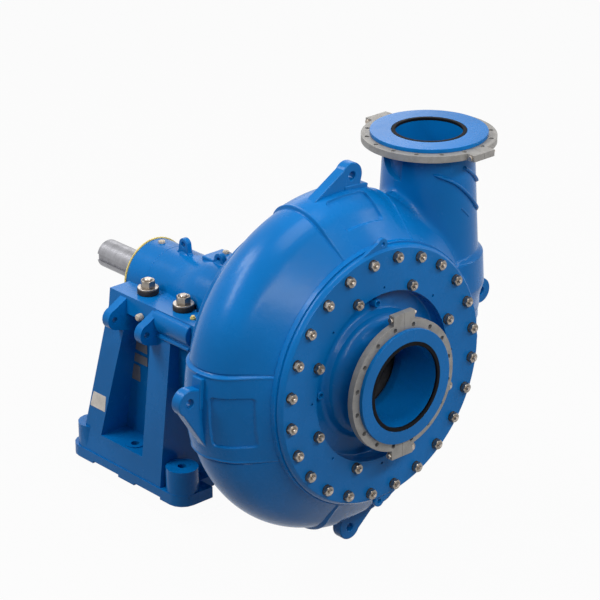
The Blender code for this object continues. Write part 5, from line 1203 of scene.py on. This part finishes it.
class PUMP_OT_plates(bpy.types.Operator):
    """Make the blank plates on the pedestal"""

    bl_idname = "pump.plates"
    bl_label = "Blank plates"

    def execute(self, context):
        # The wall plates take the dark plate finish, whose colour is painted shade for the window they sit in.
        for number, corners in enumerate(WALL_PLATES, 1):
            shell = prism(rounded(corners, 0.004, 3), -WALL_FACE - 0.0022, -WALL_FACE + 0.0004, "X")
            shell = softened(shell, 0.0006, 35, 2)
            piece(f"wall_plate_{number}", shell, "plate", "frame", place=ORIGIN)
        leg = prism(rounded(LEG_PLATE, 0.004, 3), -0.0016, 0.0010, "X")
        # The leg's outer face leans: each point moves out to the face at its own height
        leg.points[:, 0] -= LEG_FACE - LEG_SLOPE * leg.points[:, 2]
        piece("leg_plate", softened(leg, 0.0006, 35, 2), "label", "frame", place=ORIGIN)
        return {"FINISHED"}


# Solids whose own shape is kept, under each finish
KEPT_NODES = {
    # Impeller and liner take the iron finish, whose dark tone is partly painted shade for the bore.
    "iron": ("rear_liner", "impeller"),
    "paint": ("stuffing_box",),
    "brass": ("lantern_ring", "pump_bearing_rollers", "drive_bearing_rollers"),
    "packing": ("packing_ring_1", "packing_ring_2", "packing_ring_3"),
    "machined": (
        "gland_upper", "gland_lower", "gland_stud_left", "gland_stud_right", "gland_nut_left", "gland_nut_right",
        "release_collar", "shaft_sleeve", "pump_bearing_inner_race", "pump_bearing_outer_race",
        "drive_bearing_inner_race", "drive_bearing_outer_race", "pump_end_labyrinth", "drive_end_labyrinth",
        "bearing_lock_nut", "adjusting_screw",
    ),
}


class PUMP_OT_inner_parts(bpy.types.Operator):
    """Give the pieces inside the pump their metal, packing and paint"""

    bl_idname = "pump.inner_parts"
    bl_label = "Inner parts"

    def execute(self, context):
        for finish, nodes in KEPT_NODES.items():
            for name in nodes:
                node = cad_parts[name]
                for slot in node.material_slots:
                    slot.material = finishes()[finish]
                if not node.material_slots:
                    raise RuntimeError(f"{name} has no material slot")
        kept = {name for nodes in KEPT_NODES.values() for name in nodes}
        left = [name for name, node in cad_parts.items() if not node.hide_render and name not in kept]
        if left:
            raise RuntimeError(f"no finish for {left}")
        return {"FINISHED"}


class PUMP_OT_studio(bpy.types.Operator):
    """Make the floor, the lights and the camera"""

    bl_idname = "pump.studio"
    bl_label = "Studio"

    def execute(self, context):
        scene = context.scene
        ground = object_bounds()[0].z - 0.0005
        white = studio_white()
        floor = turned([(0.0, ground), (30.0, ground), (30.0, ground - 0.05), (0.0, ground - 0.05)], 64, "Z")
        stage_piece("floor", floor, white)
        plinth = block((-0.40, -0.36, ground - 0.01), (0.40, 0.40, -0.0005))
        stage_piece("plinth", softened(plinth, 0.01), white)
        scene.world = scene.world or bpy.data.worlds.new("studio_air")
        fill_world(scene.world)
        for name, place, size, power, target, along in LAMPS:
            lamp = bpy.data.lights.new(name, "AREA")
            lamp.shape = "RECTANGLE"
            lamp.size, lamp.size_y = size
            lamp.energy = power
            away = (Vector(place) - Vector(target)).normalized()
            side = Vector(along).cross(away).normalized()
            made = linked(name, lamp)
            made.location = place
            made.rotation_mode = "QUATERNION"
            made.rotation_quaternion = Matrix((side, away.cross(side), away)).transposed().to_quaternion()
        azimuth, elevation = radians(CAMERA_AZIMUTH), radians(CAMERA_ELEVATION)
        back = Vector((sin(azimuth) * cos(elevation), -cos(azimuth) * cos(elevation), sin(elevation)))
        right = Vector((cos(azimuth), sin(azimuth), 0))
        matrix = Matrix((right, back.cross(right), back)).transposed().to_4x4()
        matrix.translation = Vector(CAMERA_PLACE)
        camera = bpy.data.cameras.new("camera")
        camera.sensor_width = 36
        camera.lens = CAMERA_LENS
        camera.clip_end = 100
        made = linked("camera", camera)
        made.matrix_world = matrix
        scene.camera = made
        scene.view_settings.view_transform = "Standard"
        return {"FINISHED"}


# The camera stands where the photograph was taken from
CAMERA_PLACE = (-7.1305, -8.5571, 5.6013)
CAMERA_AZIMUTH = -42.36
CAMERA_ELEVATION = 23.37
CAMERA_LENS = 157.506

# Name, place, width and length, power, target, and the way the length runs
LAMPS = (
    ("top_light", (0.0, -1.2, 5.6), (2.2, 2.2), 90, (0, -0.6, 0.8), (1, 0, 0)),
    ("rear_left_strip", (-3.6, 1.6, 5.4), (1.0, 3.8), 215, (0, -0.7, 0.9), (3.6, 1.2, 1.7)),
    ("front_strip", (-0.8, -6.0, 5.2), (0.8, 7.0), 290, (0, -0.8, 0.9), (1, 0.05, 0.1)),
    ("right_strip", (4.5, -3.6, 3.2), (0.8, 4.0), 70, (0.3, -0.8, 1.0), (0, 0, 1)),
    ("rear_top_light", (-2.1, 3.2, 5.4), (1.3, 1.3), 75, (0, -0.7, 0.9), (1, 0, 0)),
    ("rear_light", (3.4, 3.6, 3.6), (2.5, 2.5), 32, (0, 0, 0.8), (0, 0, 1)),
)


def fill_world(world):
    """Faint bluish air for what the lamps miss, and plain white for the camera, mirrors and glass."""
    world.use_nodes = True
    tree = world.node_tree
    tree.nodes.clear()
    out = tree.nodes.new("ShaderNodeOutputWorld")
    path = tree.nodes.new("ShaderNodeLightPath")
    seen = path.outputs["Is Camera Ray"]
    for ray in ("Is Glossy Ray", "Is Transmission Ray"):
        either = tree.nodes.new("ShaderNodeMath")
        either.operation = "MAXIMUM"
        tree.links.new(seen, either.inputs[0])
        tree.links.new(path.outputs[ray], either.inputs[1])
        seen = either.outputs[0]
    mix = tree.nodes.new("ShaderNodeMixShader")
    tree.links.new(seen, mix.inputs[0])
    for socket, colour, strength in ((1, (0.80, 0.88, 1.0, 1.0), 0.08), (2, (1, 1, 1, 1), 1.0)):
        air = tree.nodes.new("ShaderNodeBackground")
        air.inputs["Color"].default_value = colour
        air.inputs["Strength"].default_value = strength
        tree.links.new(air.outputs[0], mix.inputs[socket])
    tree.links.new(mix.outputs[0], out.inputs[0])


def studio_white():
    """A floor that the camera sees as white and that still takes a faint shadow."""
    paint = Paint("studio_white", roughness=0.9)
    paint.finish(base_color=paint.mixed(paint.noise(3.0, 2.0), (0.24, 0.24, 0.24), (0.27, 0.27, 0.27)))
    glow = paint.node("ShaderNodeEmission", {}, {"Color": (1, 1, 1, 1), "Strength": 1.0})
    path = paint.node("ShaderNodeLightPath")
    rays = [Value(paint, path.outputs[f"Is {ray} Ray"]) for ray in ("Camera", "Glossy", "Transmission")]
    seen = rays[0].maths("MAXIMUM", rays[0], rays[1])
    share = seen.maths("MAXIMUM", seen, rays[2]) * 0.96
    mix = paint.node("ShaderNodeMixShader", {}, {0: share, 1: paint.shader.outputs[0], 2: glow.outputs[0]})
    paint.tree.links.new(mix.outputs[0], paint.tree.nodes["Material Output"].inputs[0])
    return paint.material


def stage_piece(name, shell, material):
    mesh = clean_mesh(name, shell)
    mesh.materials.append(material)
    made = linked(name, mesh)
    made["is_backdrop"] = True


OPERATORS = (
    PUMP_OT_casing, PUMP_OT_front_cover, PUMP_OT_throat, PUMP_OT_rings, PUMP_OT_rear_end, PUMP_OT_cartridge,
    PUMP_OT_shaft, PUMP_OT_pedestal, PUMP_OT_plates, PUMP_OT_inner_parts, PUMP_OT_studio,
)


class PUMP_PT_looks(bpy.types.Panel):
    bl_label = "Slurry pump"
    bl_idname = "PUMP_PT_looks"
    bl_space_type = "VIEW_3D"
    bl_region_type = "UI"
    bl_category = "Slurry pump"

    def draw(self, context):
        for group in (context.scene.pump_sizes, context.scene.pump_colours):
            for name in group.__annotations__:
                self.layout.prop(group, name)
        for operator in OPERATORS:
            self.layout.operator(operator.bl_idname)


CLASSES = (PumpSizes, PumpColours, *OPERATORS, PUMP_PT_looks)


def register():
    for each in CLASSES:
        bpy.utils.register_class(each)
    bpy.types.Scene.pump_sizes = PointerProperty(type=PumpSizes)
    bpy.types.Scene.pump_colours = PointerProperty(type=PumpColours)


def unregister():
    del bpy.types.Scene.pump_colours
    del bpy.types.Scene.pump_sizes
    for each in reversed(CLASSES):
        bpy.utils.unregister_class(each)


def main():
    register()
    for operator in OPERATORS:
        group, name = operator.bl_idname.split(".")
        getattr(getattr(bpy.ops, group), name)()


if __name__ == "__main__":
    main()
